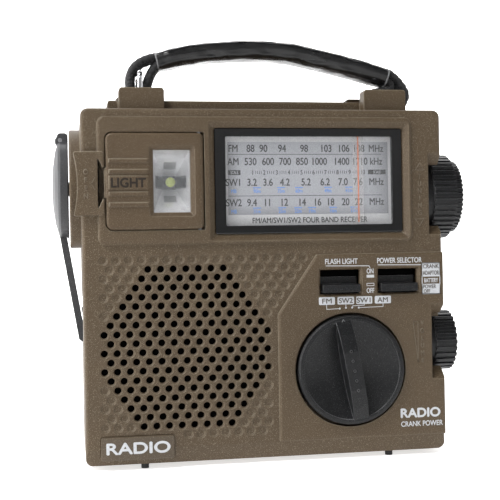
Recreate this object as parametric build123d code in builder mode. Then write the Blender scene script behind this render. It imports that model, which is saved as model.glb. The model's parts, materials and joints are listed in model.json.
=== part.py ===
from build123d import *
import os
from math import cos, pi, radians, sin, tan

os.makedirs("parts", exist_ok=True)

# ---------------------------------------------------------------- driving dimensions, millimetres
# Frame: X to the right seen from the front, Y to the back, Z up. The feet stand on z = 0, and the
# origin is the bottom centre of the whole radio.
case_w, case_h, case_d = 152.0, 145.0, 58.0
foot_h = 2.0            # the feet under the case
wall = 2.2              # moulded wall
corner_r = 3.0          # case corners seen from the front
edge_r = 1.6            # rounding round the front face
panel_raise = 1.2       # upper plateau and control panel stand this proud of the front face
front_reach = 7.0       # band knob grip in front of the front face
side_reach = 88.0       # crank dome and fine tuning wheel, from the middle of the case
seam_depth = 6.5        # depth of the front case
run = 0.05              # radial clearance of a running fit
gap = 0.35              # gap round a door or a moving knob
shaft_r = 3.0           # control and crank shafts
pin_r = 0.7             # hinge pins of the two doors
peg_r = 0.9             # pegs of the feet

left_x, right_x = -case_w / 2, case_w / 2
bottom_z, top_z = foot_h, foot_h + case_h
front_y = (front_reach - case_d) / 2
back_y = front_y + case_d
face_y = front_y - panel_raise
seam_y = front_y + seam_depth

# dial
dial_x, dial_z, dial_w, dial_h = 18.6, 117.1, 80.5, 44.0
dial_open_w, dial_open_h = 71.4, 37.0
pointer_x = 40.2

# lamp door and its window
door_x0, door_x1, door_z0, door_z1 = -66.2, -26.4, 97.5, 136.8
door_t = 3.6
door_front = front_y - 2.0
hinge_x, hinge_y = door_x1 - door_t / 2, door_front + door_t / 2
lamp_x, lamp_z, lamp_w, lamp_h = -39.4, 117.2, 15.2, 25.6

# speaker grille: staggered holes, half pitch across and row pitch down
hole_r, hole_half_pitch, hole_row_pitch = 1.4, 2.59, 3.762
grille_x0, grille_z0, grille_rows = -67.9, 85.1, 19
grille_mid = 13
speaker_x, speaker_z, speaker_r = -34.2, 49.4, 37.0

# controls on the front
band_x, band_z, band_recess_r, band_knob_r, band_lean = 34.5, 37.6, 23.9, 22.9, 9.9
slot_w, slot_z0, slot_z1 = 17.2, 69.4, 79.6
lamp_switch_x, power_switch_x = 30.6, 55.7
slider_w, slider_h = 16.2, 3.5

# wheels on the right
tune_y, tune_z, tune_r, fine_r = -5.0, 110.9, 18.5, 15.85
volume_y, volume_z, volume_r = -10.0, 47.4, 13.1
well_x = 70.6

# crank on the left
hub_y, hub_z, boss_r, boss_proud = 7.0, 116.0, 25.5, 4.7
disc_r = 21.2
arm_pin_x, arm_pin_z = -84.3, hub_z + 20.5
arm_lean = 9.46
grip_z, grip_r, grip_l = 57.8, 7.5, 12.5
trough_r0, trough_r1, trough_x = 46.5, 70.0, -60.5
trough_y0 = hub_y - 9.2

# crank gears
gear_module, wheel_teeth, pinion_teeth = 0.9, 40, 12
gear_x0, gear_x1 = -72.5, -68.5
gear_gap = gear_module * (wheel_teeth + pinion_teeth) / 2 + 0.06
dynamo_z = hub_z - gear_gap

# top of the case, strap and aerial
post_w, post_top = 18.7, 156.5
left_post_x, right_post_x = -50.7, 53.7
post_y0, post_y1, lug_y0, lug_y1 = front_y + 7, front_y + 13, 10.1, 14.2
strap_y = (post_y1 + lug_y0) / 2
bar_z, wire_r, ring_half, ring_h, right_ring_lean = 153.5, 1.15, 9.8, 10.9, 78.0
hump_x0, hump_x1, hump_y0, hump_y1, hump_top = -64.5, 68.5, -12.5, 21.9, 152.0
aerial_x, aerial_y, aerial_z = 64.0, 27.0, 152.3
clip_x0, clip_x1, clip_y0, clip_y1 = -40.0, -36.0, 24.6, 29.6
strap_w = 11.0

# battery bay at the back, for three AA cells side by side
bay_x0, bay_x1, bay_z0, bay_z1, bay_depth = -8.0, 46.0, 14.0, 74.0, 17.0
bay_wall = 3.6
cover_hinge_y, cover_hinge_z = back_y - 1.2, bay_z0 - 0.45
cell_r, cell_l, cell_pitch, cell_count = 7.25, 50.5, 16.6, 3

# sockets, screws and feet
socket_z, earphone_x, power_x = 120.0, -40.0, -22.0
earphone_r, earphone_bore, power_r, power_bore = 3.1, 1.8, 4.1, 2.8
screw_xs, screw_zs = (-66.0, 66.0), (12.0, 137.0)
foot_xs, front_foot_y, back_foot_y, foot_r = (-52.0, 52.0), front_y + 4.2, back_y - 8.0, 1.6


# ---------------------------------------------------------------- small shared shapes
def panel(x0, x1, z0, z1, y0, y1, r=0.0, mode=Mode.ADD):
    """Slab facing the front, rounded corners of radius r, from depth y0 back to y1."""
    with BuildSketch(Plane.XZ.offset(-y1)) as outline:
        with Locations(((x0 + x1) / 2, (z0 + z1) / 2)):
            if r:
                RectangleRounded(x1 - x0, z1 - z0, r)
            else:
                Rectangle(x1 - x0, z1 - z0)
    extrude(outline.sketch, amount=y1 - y0, mode=mode)


def disc_x(y, z, r, x0, x1, mode=Mode.ADD):
    """Cylinder along X."""
    with BuildSketch(Plane.YZ.offset(x0)) as outline:
        with Locations((y, z)):
            Circle(r)
    extrude(outline.sketch, amount=x1 - x0, mode=mode)


def disc_y(x, z, r, y0, y1, mode=Mode.ADD):
    """Cylinder along Y."""
    with BuildSketch(Plane.XZ.offset(-y1)) as outline:
        with Locations((x, z)):
            Circle(r)
    extrude(outline.sketch, amount=y1 - y0, mode=mode)


def disc_z(x, y, r, z0, z1, mode=Mode.ADD):
    """Cylinder along Z."""
    with BuildSketch(Plane.XY.offset(z0)) as outline:
        with Locations((x, y)):
            Circle(r)
    extrude(outline.sketch, amount=z1 - z0, mode=mode)


def side_slab(points, x0, x1, mode=Mode.ADD):
    """Polygon of (y, z) points extruded along X."""
    with BuildSketch(Plane.YZ.offset(x0)) as outline:
        with BuildLine():
            Polyline(*points, close=True)
        make_face()
    extrude(outline.sketch, amount=x1 - x0, mode=mode)


def turned_x(points, y, z, mode=Mode.ADD):
    """Turned shape about an axis along X, from (x, radius) points."""
    with BuildSketch(Plane.XY.offset(z)) as outline:
        with BuildLine():
            Polyline(*[(x, y + r) for x, r in points], close=True)
        make_face()
    revolve(outline.sketch, axis=Axis((0, y, z), (1, 0, 0)), mode=mode)


def turned_y(points, x, z, mode=Mode.ADD):
    """Turned shape about an axis along Y, from (y, radius) points."""
    with BuildSketch(Plane.XY.offset(z)) as outline:
        with BuildLine():
            Polyline(*[(x + r, y) for y, r in points], close=True)
        make_face()
    revolve(outline.sketch, axis=Axis((x, 0, z), (0, 1, 0)), mode=mode)


def ribbed_disc(y, z, r, ribs, depth, x0, x1):
    """Knurled wheel rim along X: a plain disc with square ribs round it."""
    rib_w = 2 * pi * r / ribs * 0.52
    with BuildSketch(Plane.YZ.offset(x0)) as outline:
        with Locations((y, z)):
            Circle(r - depth)
            with PolarLocations(r - depth, ribs):
                Rectangle(2 * depth, rib_w)
    extrude(outline.sketch, amount=x1 - x0)


def gear_face(y, z, teeth, turn, bore):
    """Spur gear outline with play for free running, first tooth at angle turn (degrees)."""
    pitch_r = gear_module * teeth / 2
    tip_r, root_r = pitch_r + 0.8 * gear_module, pitch_r - 1.1 * gear_module
    step = 360 / teeth
    points = []
    for k in range(teeth):
        middle = turn + k * step
        for radius, share in ((root_r, -0.30), (pitch_r, -0.20), (tip_r, -0.10),
                              (tip_r, 0.10), (pitch_r, 0.20), (root_r, 0.30)):
            a = radians(middle + share * step)
            points.append((y + radius * cos(a), z + radius * sin(a)))
    with BuildSketch(Plane.YZ.offset(gear_x0)) as outline:
        with BuildLine():
            Polyline(*points, close=True)
        make_face()
        with Locations((y, z)):
            Circle(bore, mode=Mode.SUBTRACT)
    extrude(outline.sketch, amount=gear_x1 - gear_x0)


# ---------------------------------------------------------------- front case
def wheel_notch(z_low, z_high, flare_low, flare_high, surface_y):
    """Notch at the right edge that lets a thumb reach a wheel from the front."""
    deep_y = front_y + 4.5
    side_slab([(surface_y - 1, z_high + flare_high), (surface_y, z_high + flare_high),
               (deep_y, z_high), (seam_y + 1, z_high), (seam_y + 1, z_low), (deep_y, z_low),
               (surface_y, z_low - flare_low), (surface_y - 1, z_low - flare_low)],
              well_x - 0.3, right_x + 1, mode=Mode.SUBTRACT)


def slot_cut(x):
    """Slide switch slot with a shallow bevel round it."""
    panel(x - slot_w / 2, x + slot_w / 2, slot_z0, slot_z1, face_y - 1, front_y + wall + 1, 0.4, Mode.SUBTRACT)
    with BuildSketch(Plane.XZ.offset(-face_y)) as outline:
        with Locations((x, (slot_z0 + slot_z1) / 2)):
            RectangleRounded(slot_w + 1.6, slot_z1 - slot_z0 + 1.6, 0.8)
    extrude(outline.sketch, amount=-0.8, taper=44, mode=Mode.SUBTRACT)


def grille_points():
    """Places of the open holes and of the blind dimples round them."""
    holes, dimples = [], []
    for row in range(grille_rows):
        for k in range(row % 2, max(26, 32 - row) + 1, 2):
            spot = (grille_x0 + k * hole_half_pitch, grille_z0 - row * hole_row_pitch)
            if 1 <= row <= 18 and abs(k - grille_mid) <= min(13, 5 + row, 25 - row):
                holes.append(spot)
            else:
                dimples.append(spot)
    last_z = grille_z0 - grille_rows * hole_row_pitch
    dimples += [(grille_x0 + k * hole_half_pitch, last_z) for k in range(13, 26, 2)]
    return holes, dimples


open_holes, blind_dimples = grille_points()

with BuildPart() as front_case:
    panel(left_x, right_x, bottom_z, top_z, front_y, seam_y, corner_r)
    fillet(front_case.faces().sort_by(Axis.Y)[0].edges(), edge_r)
    # upper plateau round the lamp and the dial
    panel(-69.4, 62.6, 91.3, 143.4, face_y, front_y + wall, 3.0)
    # raised control panel at the lower right
    with BuildSketch(Plane.XZ.offset(-(front_y + wall))):
        with BuildLine():
            Polyline((3.9, 8.7), (3.9, 61.6), (20.5, 85.9), (right_x, 86.2), (right_x, 8.7), close=True)
        make_face()
    extrude(amount=wall + panel_raise)
    raised = front_case.faces().filter_by(Axis.Y).group_by(Axis.Y)[0]
    fillet(raised.edges(), 0.9)
    # lower front edge slopes back to the base
    side_slab([(front_y - 3, 8.7), (front_y, 8.7), (front_y + 2.0, bottom_z), (front_y - 3, bottom_z)],
              left_x - 1, right_x + 1, Mode.SUBTRACT)
    # corner tab with its finger scoop
    panel(-79.2, -66.9, 103.4, 129.2, front_y - 1.7, seam_y, 1.2)
    disc_y(-79.2 - 52.2, 116.3, 53.8, front_y - 3, seam_y, Mode.SUBTRACT)
    # hollow inside
    panel(left_x + wall, right_x - wall, bottom_z + wall, top_z - wall,
          front_y + wall, seam_y, 1.0, Mode.SUBTRACT)
    # trays behind the lamp door, the dial, the band knob and the two wheels
    panel(door_x0 - 2.5, door_x1 + 2.5, door_z0 - 2.5, door_z1 + 2.5, front_y + 1, front_y + 4.2, 2.0)
    panel(dial_x - 42.5, dial_x + 42.5, dial_z - 24.2, dial_z + 24.2, front_y + 1, front_y + 6.0, 1.0)
    disc_y(band_x, band_z, band_recess_r + 1.8, front_y + 1, front_y + 6.2)
    panel(well_x - 1.8, right_x - 1, 90.0, 132.0, front_y + 1, seam_y)
    panel(well_x - 1.8, right_x - 1, 30.0, 66.5, front_y + 1, seam_y)
    # lamp door pocket, reflector hole and hinge pin bore; tighter corners leave room for the door's barrel
    for x0, r in ((door_x0 - gap, 2.9), (door_x1 - 4, 0.8)):
        panel(x0, door_x1 + gap, door_z0 - gap, door_z1 + gap, front_y - 5, front_y + 2.2, r, Mode.SUBTRACT)
    panel(lamp_x - 8.5, lamp_x + 8.5, lamp_z - 13.7, lamp_z + 13.7, front_y, front_y + 5, 0.0, Mode.SUBTRACT)
    panel(door_x0 - 1.1, door_x0, 110.0, 123.0, front_y - 5, front_y + 2.2, 0.0, Mode.SUBTRACT)
    disc_z(hinge_x, hinge_y, pin_r, door_z0 - 2.3, door_z1 + 2.3, Mode.SUBTRACT)
    with BuildSketch(Plane.XZ.offset(-(front_y - 5))) as scoop:
        with Locations((-85.1, 116.3)):
            Circle(18.66)
        with Locations((-89.4, 116.3)):
            Rectangle(40, 60, mode=Mode.SUBTRACT)
    extrude(amount=-8.5, mode=Mode.SUBTRACT)
    # dial opening with a wide bevel
    with BuildSketch(Plane.XZ.offset(-face_y)):
        with Locations((dial_x, dial_z - 0.2)):
            RectangleRounded(dial_w + 5.0, dial_h + 5.0, 1.2)
    extrude(amount=-2.4, taper=46, mode=Mode.SUBTRACT)
    panel(dial_x - dial_w / 2, dial_x + dial_w / 2, dial_z - dial_h / 2, dial_z + dial_h / 2,
          face_y, seam_y + 1, 1.0, Mode.SUBTRACT)
    # band knob recess
    disc_y(band_x, band_z, band_recess_r, face_y - 1, front_y + 4.4, Mode.SUBTRACT)
    disc_y(band_x, band_z, 3.3, front_y, seam_y + 1, Mode.SUBTRACT)
    # switch slots
    slot_cut(lamp_switch_x)
    slot_cut(power_switch_x)
    # wheel notches and wells
    wheel_notch(97.5, 123.9, 3.8, 4.8, front_y)
    wheel_notch(37.1, 60.1, 4.8, 4.3, face_y)
    disc_x(tune_y, tune_z, tune_r + 1.1, well_x, right_x + 1, Mode.SUBTRACT)
    disc_x(volume_y, volume_z, volume_r + 1.1, well_x, right_x + 1, Mode.SUBTRACT)
    # name plate seat
    panel(-69.85, -40.2, 4.3, 13.8, front_y - 2, front_y + 1.0, 1.0, Mode.SUBTRACT)
    # speaker grille
    with BuildSketch(Plane.XZ.offset(-front_y)):
        with Locations(*open_holes):
            Circle(hole_r)
    extrude(amount=-wall - 1, mode=Mode.SUBTRACT)
    with BuildSketch(Plane.XZ.offset(-front_y)):
        with Locations(*(open_holes + blind_dimples)):
            Circle(hole_r + 0.45)
    extrude(amount=-0.45, taper=44, mode=Mode.SUBTRACT)
    # holes for the pegs of the front feet
    for x in foot_xs:
        disc_z(x, front_foot_y, peg_r, bottom_z - 1, bottom_z + wall + 1, Mode.SUBTRACT)
front_case.part.label = "front_case"
export_step(front_case.part, "parts/front_case.step")

with BuildPart() as name_plate:
    panel(-69.85, -40.2, 4.3, 13.8, front_y - 0.8, front_y + 1.0, 1.0)
    fillet(name_plate.faces().sort_by(Axis.Y)[0].edges(), 0.35)
name_plate.part.label = "name_plate"
export_step(name_plate.part, "parts/name_plate.step")


# ---------------------------------------------------------------- rear case
def rear_case_inner_walls():
    """Wheel wells, crank grip channel and battery bay walls inside the rear case."""
    disc_x(tune_y, tune_z, tune_r + 2.7, well_x - 1.8, right_x - 1)
    disc_x(volume_y, volume_z, volume_r + 2.7, well_x - 1.8, right_x - 1)
    panel(bay_x0 - bay_wall, bay_x1 + bay_wall, bay_z0 - bay_wall, bay_z1 + bay_wall,
          back_y - bay_depth - 3.2, back_y - 1)
    with BuildSketch(Plane.YZ.offset(left_x + 1)) as outline:
        with Locations((hub_y, hub_z)):
            Circle(trough_r1 + 1.7)
            Circle(trough_r0 - 1.7, mode=Mode.SUBTRACT)
        with Locations(((trough_y0 - 1.7 + back_y - 1) / 2, hub_z - 55)):
            Rectangle(back_y - 1 - trough_y0 + 1.7, 70, mode=Mode.INTERSECT)
    extrude(outline.sketch, amount=trough_x + 1.6 - left_x - 1)


with BuildPart() as rear_case:
    panel(left_x, right_x, bottom_z, top_z, seam_y, back_y, corner_r)
    fillet(rear_case.faces().sort_by(Axis.Y)[-1].edges(), edge_r)
    panel(left_x + wall, right_x - wall, bottom_z + wall, top_z - wall,
          seam_y, back_y - wall, 1.0, Mode.SUBTRACT)
    rear_case_inner_walls()
    panel(left_x - 9, right_x + 9, 0, top_z + 20, front_y - 9, seam_y, 0.0, Mode.SUBTRACT)
    # low ridge along the top, and the two handle posts
    side_slab([(hump_y0, top_z - 1), (hump_y0, hump_top), (hump_y1, hump_top), (hump_y1, top_z - 1)],
              hump_x0, hump_x1)
    fillet(rear_case.faces().filter_by(Axis.Z).sort_by(Axis.Z)[-1].edges(), 1.4)
    for x in (left_post_x, right_post_x):
        for y0, y1 in ((post_y0, post_y1), (lug_y0, lug_y1)):
            with BuildSketch(Plane.XZ.offset(-y1)):
                with Locations((x, top_z - 4)):
                    RectangleRounded(post_w, 2 * (post_top - top_z + 4), 1.4)
                with Locations((x, top_z - 21)):
                    Rectangle(post_w + 1, 40, mode=Mode.SUBTRACT)
            extrude(amount=y1 - y0)
    # crank boss
    disc_x(hub_y, hub_z, boss_r, left_x - boss_proud, left_x + wall)
    fillet(rear_case.edges().filter_by(GeomType.CIRCLE).sort_by(Axis.X)[0], 0.9)
    disc_x(hub_y, hub_z, shaft_r + run, left_x - boss_proud - 1, left_x + wall + 1, Mode.SUBTRACT)
    # grip channel: a curved trough from the stowed grip to the back edge
    with BuildSketch(Plane.YZ.offset(left_x - 1)):
        with Locations((hub_y, hub_z)):
            Circle(trough_r1)
            Circle(trough_r0, mode=Mode.SUBTRACT)
        with Locations((trough_y0 + 30, hub_z - 55)):
            Rectangle(60, 70, mode=Mode.INTERSECT)
    extrude(amount=trough_x - left_x + 1, mode=Mode.SUBTRACT)
    # wheel wells
    disc_x(tune_y, tune_z, tune_r + 1.1, well_x, right_x + 1, Mode.SUBTRACT)
    disc_x(volume_y, volume_z, volume_r + 1.1, well_x, right_x + 1, Mode.SUBTRACT)
    disc_x(tune_y, tune_z, 3.3, 60, well_x + 1, Mode.SUBTRACT)
    disc_x(volume_y, volume_z, 3.3, 60, well_x + 1, Mode.SUBTRACT)
    # battery bay, with a seat for its door
    panel(bay_x0, bay_x1, bay_z0 + 4, bay_z1, back_y - bay_depth - 1.6, back_y + 1, 1.0, Mode.SUBTRACT)
    panel(bay_x0 - 2, bay_x1 + 2, bay_z0 - 2, bay_z1 + 2, back_y - 2.6, back_y + 1, 0.4, Mode.SUBTRACT)
    disc_x(cover_hinge_y, cover_hinge_z, pin_r, bay_x0 - 4.3, bay_x1 + 4.3, Mode.SUBTRACT)
    # room for the webbing loops between posts and lugs, and bores for the ring bars
    for x, x0, x1 in ((left_post_x, -59.5, -43.0), (right_post_x, 45.5, hump_x1 + 1)):
        panel(x0, x1, top_z + 1.2, post_top, post_y1, lug_y0, 0.0, Mode.SUBTRACT)
        disc_y(x, bar_z, wire_r + run, post_y1 - 2.5, lug_y0 + 2.5, Mode.SUBTRACT)
    # aerial turntable bore and the rest under the aerial
    disc_z(aerial_x, aerial_y, shaft_r + run, top_z - wall - 1, top_z + 1, Mode.SUBTRACT)
    side_slab([(clip_y0, top_z - 1), (clip_y0, aerial_z - 2.6),
               (clip_y1, aerial_z - 2.6), (clip_y1, top_z - 1)], clip_x0, clip_x1)
    # sockets at the back and the screw holes
    disc_y(earphone_x, socket_z, earphone_r + run, back_y - 4, back_y + 1, Mode.SUBTRACT)
    disc_y(power_x, socket_z, power_r + run, back_y - 4, back_y + 1, Mode.SUBTRACT)
    for x in screw_xs:
        for z in screw_zs:
            disc_y(x, z, 3.2, back_y - 1.2, back_y + 1, Mode.SUBTRACT)
            disc_y(x, z, 1.6, back_y - 3, back_y, Mode.SUBTRACT)
    # holes for the pegs of the back feet
    for x in foot_xs:
        disc_z(x, back_foot_y, peg_r, bottom_z - 1, bottom_z + wall + 1, Mode.SUBTRACT)
rear_case.part.label = "rear_case"
export_step(rear_case.part, "parts/rear_case.step")

with BuildPart() as feet:
    for x in foot_xs:
        for y in (front_foot_y, back_foot_y):
            disc_z(x, y, foot_r, 0.0, foot_h)
            disc_z(x, y, peg_r, foot_h, foot_h + wall)
feet.part.label = "feet"
export_step(feet.part, "parts/feet.step")

with BuildPart() as case_screws:
    for x in screw_xs:
        for z in screw_zs:
            disc_y(x, z, 2.9, back_y - 1.2, back_y - 0.2)
            disc_y(x, z, 1.55, back_y - 7.0, back_y - 1.2)
            panel(x - 2.0, x + 2.0, z - 0.35, z + 0.35, back_y - 0.7, back_y, 0.0, Mode.SUBTRACT)
            panel(x - 0.35, x + 0.35, z - 2.0, z + 2.0, back_y - 0.7, back_y, 0.0, Mode.SUBTRACT)
case_screws.part.label = "case_screws"
export_step(case_screws.part, "parts/case_screws.step")

# ---------------------------------------------------------------- dial
bezel_y = front_y + 0.6
plate_back = bezel_y + 1.6
card_y = bezel_y + 4.0

with BuildPart() as dial_bezel:
    panel(dial_x - dial_w / 2, dial_x + dial_w / 2, dial_z - dial_h / 2, dial_z + dial_h / 2, bezel_y, card_y, 1.0)
    fillet(dial_bezel.faces().sort_by(Axis.Y)[0].edges(), 0.5)
    panel(dial_x - dial_w / 2 + 1.2, dial_x + dial_w / 2 - 1.2, dial_z - dial_h / 2 + 1.2,
          dial_z + dial_h / 2 - 1.2, plate_back, card_y, 0.5, Mode.SUBTRACT)
    panel(dial_x - dial_open_w / 2, dial_x + dial_open_w / 2, dial_z - dial_open_h / 2,
          dial_z + dial_open_h / 2, bezel_y - 1, card_y, 0.6, Mode.SUBTRACT)
dial_bezel.part.label = "dial_bezel"
export_step(dial_bezel.part, "parts/dial_bezel.step")

with BuildPart() as dial_window:
    panel(dial_x - dial_open_w / 2, dial_x + dial_open_w / 2, dial_z - dial_open_h / 2,
          dial_z + dial_open_h / 2, bezel_y + 0.5, plate_back, 0.6)
dial_window.part.label = "dial_window"
export_step(dial_window.part, "parts/dial_window.step")

with BuildPart() as dial_card:
    panel(dial_x - dial_w / 2 + 0.3, dial_x + dial_w / 2 - 0.3, dial_z - dial_h / 2 + 0.3,
          dial_z + dial_h / 2 - 0.3, card_y, card_y + 0.8, 0.8)
dial_card.part.label = "dial_card"
export_step(dial_card.part, "parts/dial_card.step")

rail_z = dial_z + dial_open_h / 2 + 1.2
rail_y = bezel_y + 2.8
with BuildPart() as pointer_rail:
    disc_x(rail_y, rail_z, 0.5, dial_x - dial_w / 2 + 1.2, dial_x + dial_w / 2 - 1.2)
pointer_rail.part.label = "pointer_rail"
export_step(pointer_rail.part, "parts/pointer_rail.step")

with BuildPart() as dial_pointer:
    panel(pointer_x - 2.4, pointer_x + 2.4, dial_z - dial_open_h / 2 + 0.6, rail_z, rail_y - 0.35, rail_y + 0.35)
    disc_x(rail_y, rail_z, 0.95, pointer_x - 2.4, pointer_x + 2.4)
    disc_x(rail_y, rail_z, 0.5 + run, pointer_x - 3, pointer_x + 3, Mode.SUBTRACT)
dial_pointer.part.label = "dial_pointer"
export_step(dial_pointer.part, "parts/dial_pointer.step")

# ---------------------------------------------------------------- lamp
with BuildPart() as lamp_door:
    panel(door_x0, hinge_x, door_z0, door_z1, door_front, door_front + door_t, 2.8)
    panel(door_x0 + 4, hinge_x, door_z0, door_z1, door_front, door_front + door_t)
    disc_z(hinge_x, hinge_y, door_t / 2, door_z0, door_z1)
    outer = lamp_door.faces().filter_by(Axis.Y).sort_by(Axis.Y)[0]
    fillet(outer.edges().filter_by(lambda e: e.center().X < hinge_x - 0.1), 1.1)
    panel(door_x0, door_x1, door_z0, door_z1, door_front - 1, door_front + door_t + 1, 2.8, Mode.INTERSECT)
    # opening lip on the free edge
    panel(door_x0 - 0.7, door_x0 + 2, 110.4, 122.6, door_front + 0.6, door_front + 2.2)
    # grip ribs and the pad between them
    for z in (125.4, 121.1, 112.0, 107.7):
        panel(-65.0, -49.2, z - 0.8, z + 0.8, door_front - 0.5, door_front + 1)
    panel(-65.0, -49.2, 113.8, 119.3, door_front - 0.35, door_front + 1)
    # window with a bevelled frame
    with BuildSketch(Plane.XZ.offset(-door_front)):
        with Locations((lamp_x, lamp_z)):
            RectangleRounded(lamp_w + 3.4, lamp_h + 3.4, 1.2)
    extrude(amount=-1.6, taper=46, mode=Mode.SUBTRACT)
    panel(lamp_x - lamp_w / 2, lamp_x + lamp_w / 2, lamp_z - lamp_h / 2, lamp_z + lamp_h / 2,
          door_front - 1, door_front + door_t + 1, 0.4, Mode.SUBTRACT)
    disc_z(hinge_x, hinge_y, pin_r + run, door_z0 - 1, door_z1 + 1, Mode.SUBTRACT)
lamp_door.part.label = "lamp_door"
export_step(lamp_door.part, "parts/lamp_door.step")

with BuildPart() as lamp_hinge_pin:
    disc_z(hinge_x, hinge_y, pin_r, door_z0 - 2.3, door_z1 + 2.3)
lamp_hinge_pin.part.label = "lamp_hinge_pin"
export_step(lamp_hinge_pin.part, "parts/lamp_hinge_pin.step")

with BuildPart() as lamp_lens:
    panel(lamp_x - lamp_w / 2, lamp_x + lamp_w / 2, lamp_z - lamp_h / 2, lamp_z + lamp_h / 2,
          door_front + 1.6, door_front + 2.6, 0.4)
lamp_lens.part.label = "lamp_lens"
export_step(lamp_lens.part, "parts/lamp_lens.step")

reflector_y0, reflector_y1 = front_y + 2.3, front_y + 12.5
with BuildPart() as lamp_reflector:
    for grow, mode in ((0.8, Mode.ADD), (0.0, Mode.SUBTRACT)):
        with BuildSketch(Plane.XZ.offset(-reflector_y0)):
            with Locations((lamp_x, lamp_z)):
                Rectangle(lamp_w + 2 * grow, lamp_h + 2 * grow)
        with BuildSketch(Plane.XZ.offset(-reflector_y1)):
            with Locations((lamp_x, lamp_z)):
                Rectangle(5.6 + 2 * grow, 5.6 + 2 * grow)
        loft(mode=mode)
lamp_reflector.part.label = "lamp_reflector"
export_step(lamp_reflector.part, "parts/lamp_reflector.step")

with BuildPart() as lamp_led:
    disc_y(lamp_x, lamp_z, 2.4, reflector_y1 - 4.5, reflector_y1)
    with Locations((lamp_x, reflector_y1 - 4.5, lamp_z)):
        Sphere(2.4)
    disc_y(lamp_x, lamp_z, 5.0, reflector_y1, reflector_y1 + 2.0)
lamp_led.part.label = "lamp_led"
export_step(lamp_led.part, "parts/lamp_led.step")


# ---------------------------------------------------------------- slide switches
def slider_knob(x):
    """Thumb slider: a ridge in front and a broad tongue behind the slot."""
    z0 = slot_z0 + 0.7
    panel(x - slider_w / 2, x + slider_w / 2, z0, z0 + slider_h, face_y - 2.0, front_y + wall + 0.4, 0.3)
    fillet(slider.faces().sort_by(Axis.Y)[0].edges(), 0.4)
    panel(x - slider_w / 2, x + slider_w / 2, z0 - 3, z0 + slider_h + 3,
          front_y + wall + 0.4, front_y + wall + 1.4)


for node, x in (("lamp_switch_knob", lamp_switch_x), ("power_switch_knob", power_switch_x)):
    with BuildPart() as slider:
        slider_knob(x)
    slider.part.label = node
    export_step(slider.part, f"parts/{node}.step")

with BuildPart() as slide_switches:
    for x in (lamp_switch_x, power_switch_x):
        panel(x - 8.0, x + 8.0, slot_z0 - 1, slot_z1 + 2, front_y + wall + 1.7, front_y + wall + 7.0)
slide_switches.part.label = "slide_switches"
export_step(slide_switches.part, "parts/slide_switches.step")

# ---------------------------------------------------------------- band knob and its switch
knob_front = face_y - 2.2
band_up = (-sin(radians(band_lean)), 0, cos(radians(band_lean)))
band_right = (cos(radians(band_lean)), 0, sin(radians(band_lean)))

with BuildPart() as band_knob:
    turned_y([(front_y + 3.8, 0), (front_y + 3.8, band_knob_r), (knob_front + 1.0, band_knob_r),
              (knob_front + 0.25, band_knob_r - 0.5), (knob_front, band_knob_r - 1.3), (knob_front, 0)],
             band_x, band_z)
    # the dished face, a shallow bowl with a crisp edge
    with BuildSketch(Plane.XY.offset(band_z)):
        with BuildLine():
            Polyline((band_x, knob_front + 4.3), (band_x, knob_front - 1), (band_x + 20.6, knob_front - 1),
                     (band_x + 20.6, knob_front + 0.5))
            ThreePointArc((band_x + 20.6, knob_front + 0.5), (band_x + 11.5, knob_front + 3.3),
                          (band_x, knob_front + 4.3))
        make_face()
    revolve(axis=Axis((band_x, 0, band_z), (0, 1, 0)), mode=Mode.SUBTRACT)
    # the grip bar across the dish
    with BuildSketch(Plane((band_x - 3.25 * band_right[0], 0, band_z - 3.25 * band_right[2]),
                           x_dir=(0, 1, 0), z_dir=band_right)):
        with BuildLine():
            Polyline((knob_front + 4.6, -20.6), (knob_front, -20.9), (front_y - front_reach + 1.4, -15.5),
                     (front_y - front_reach, -8.0), (front_y - front_reach, 8.0),
                     (front_y - front_reach + 1.4, 15.5), (knob_front, 20.9), (knob_front + 4.6, 20.6), close=True)
        make_face()
    extrude(amount=6.5)
    disc_y(band_x, band_z, shaft_r, front_y + 3, front_y + 20)
band_knob.part.label = "band_knob"
export_step(band_knob.part, "parts/band_knob.step")

with BuildPart() as band_switch:
    disc_y(band_x, band_z, 13.0, front_y + 9, front_y + 19)
    disc_y(band_x, band_z, shaft_r + run, front_y + 8, front_y + 20, Mode.SUBTRACT)
band_switch.part.label = "band_switch"
export_step(band_switch.part, "parts/band_switch.step")

# ---------------------------------------------------------------- tuning and volume wheels
with BuildPart() as tuning_knob:
    disc_x(tune_y, tune_z, tune_r - 1.4, well_x + 0.4, 74.2)
    ribbed_disc(tune_y, tune_z, tune_r, 44, 0.9, 74.2, 84.3)
    disc_x(tune_y, tune_z, shaft_r, 70, 85, Mode.SUBTRACT)
tuning_knob.part.label = "tuning_knob"
export_step(tuning_knob.part, "parts/tuning_knob.step")

with BuildPart() as tuning_shaft:
    disc_x(tune_y, tune_z, shaft_r, 46.0, 86.6)
tuning_shaft.part.label = "tuning_shaft"
export_step(tuning_shaft.part, "parts/tuning_shaft.step")

with BuildPart() as fine_tuning_knob:
    ribbed_disc(tune_y, tune_z, fine_r, 46, 0.7, 84.5, side_reach)
    fillet(fine_tuning_knob.faces().sort_by(Axis.X)[-1].edges().filter_by(GeomType.CIRCLE), 0.3)
    disc_x(tune_y, tune_z, shaft_r + run, 84, 86.9, Mode.SUBTRACT)
fine_tuning_knob.part.label = "fine_tuning_knob"
export_step(fine_tuning_knob.part, "parts/fine_tuning_knob.step")

with BuildPart() as tuning_capacitor:
    with Locations((54.0, tune_y, tune_z)):
        Box(20, 22, 24)
    disc_x(tune_y, tune_z, shaft_r + run, 43, 65, Mode.SUBTRACT)
tuning_capacitor.part.label = "tuning_capacitor"
export_step(tuning_capacitor.part, "parts/tuning_capacitor.step")

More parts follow.
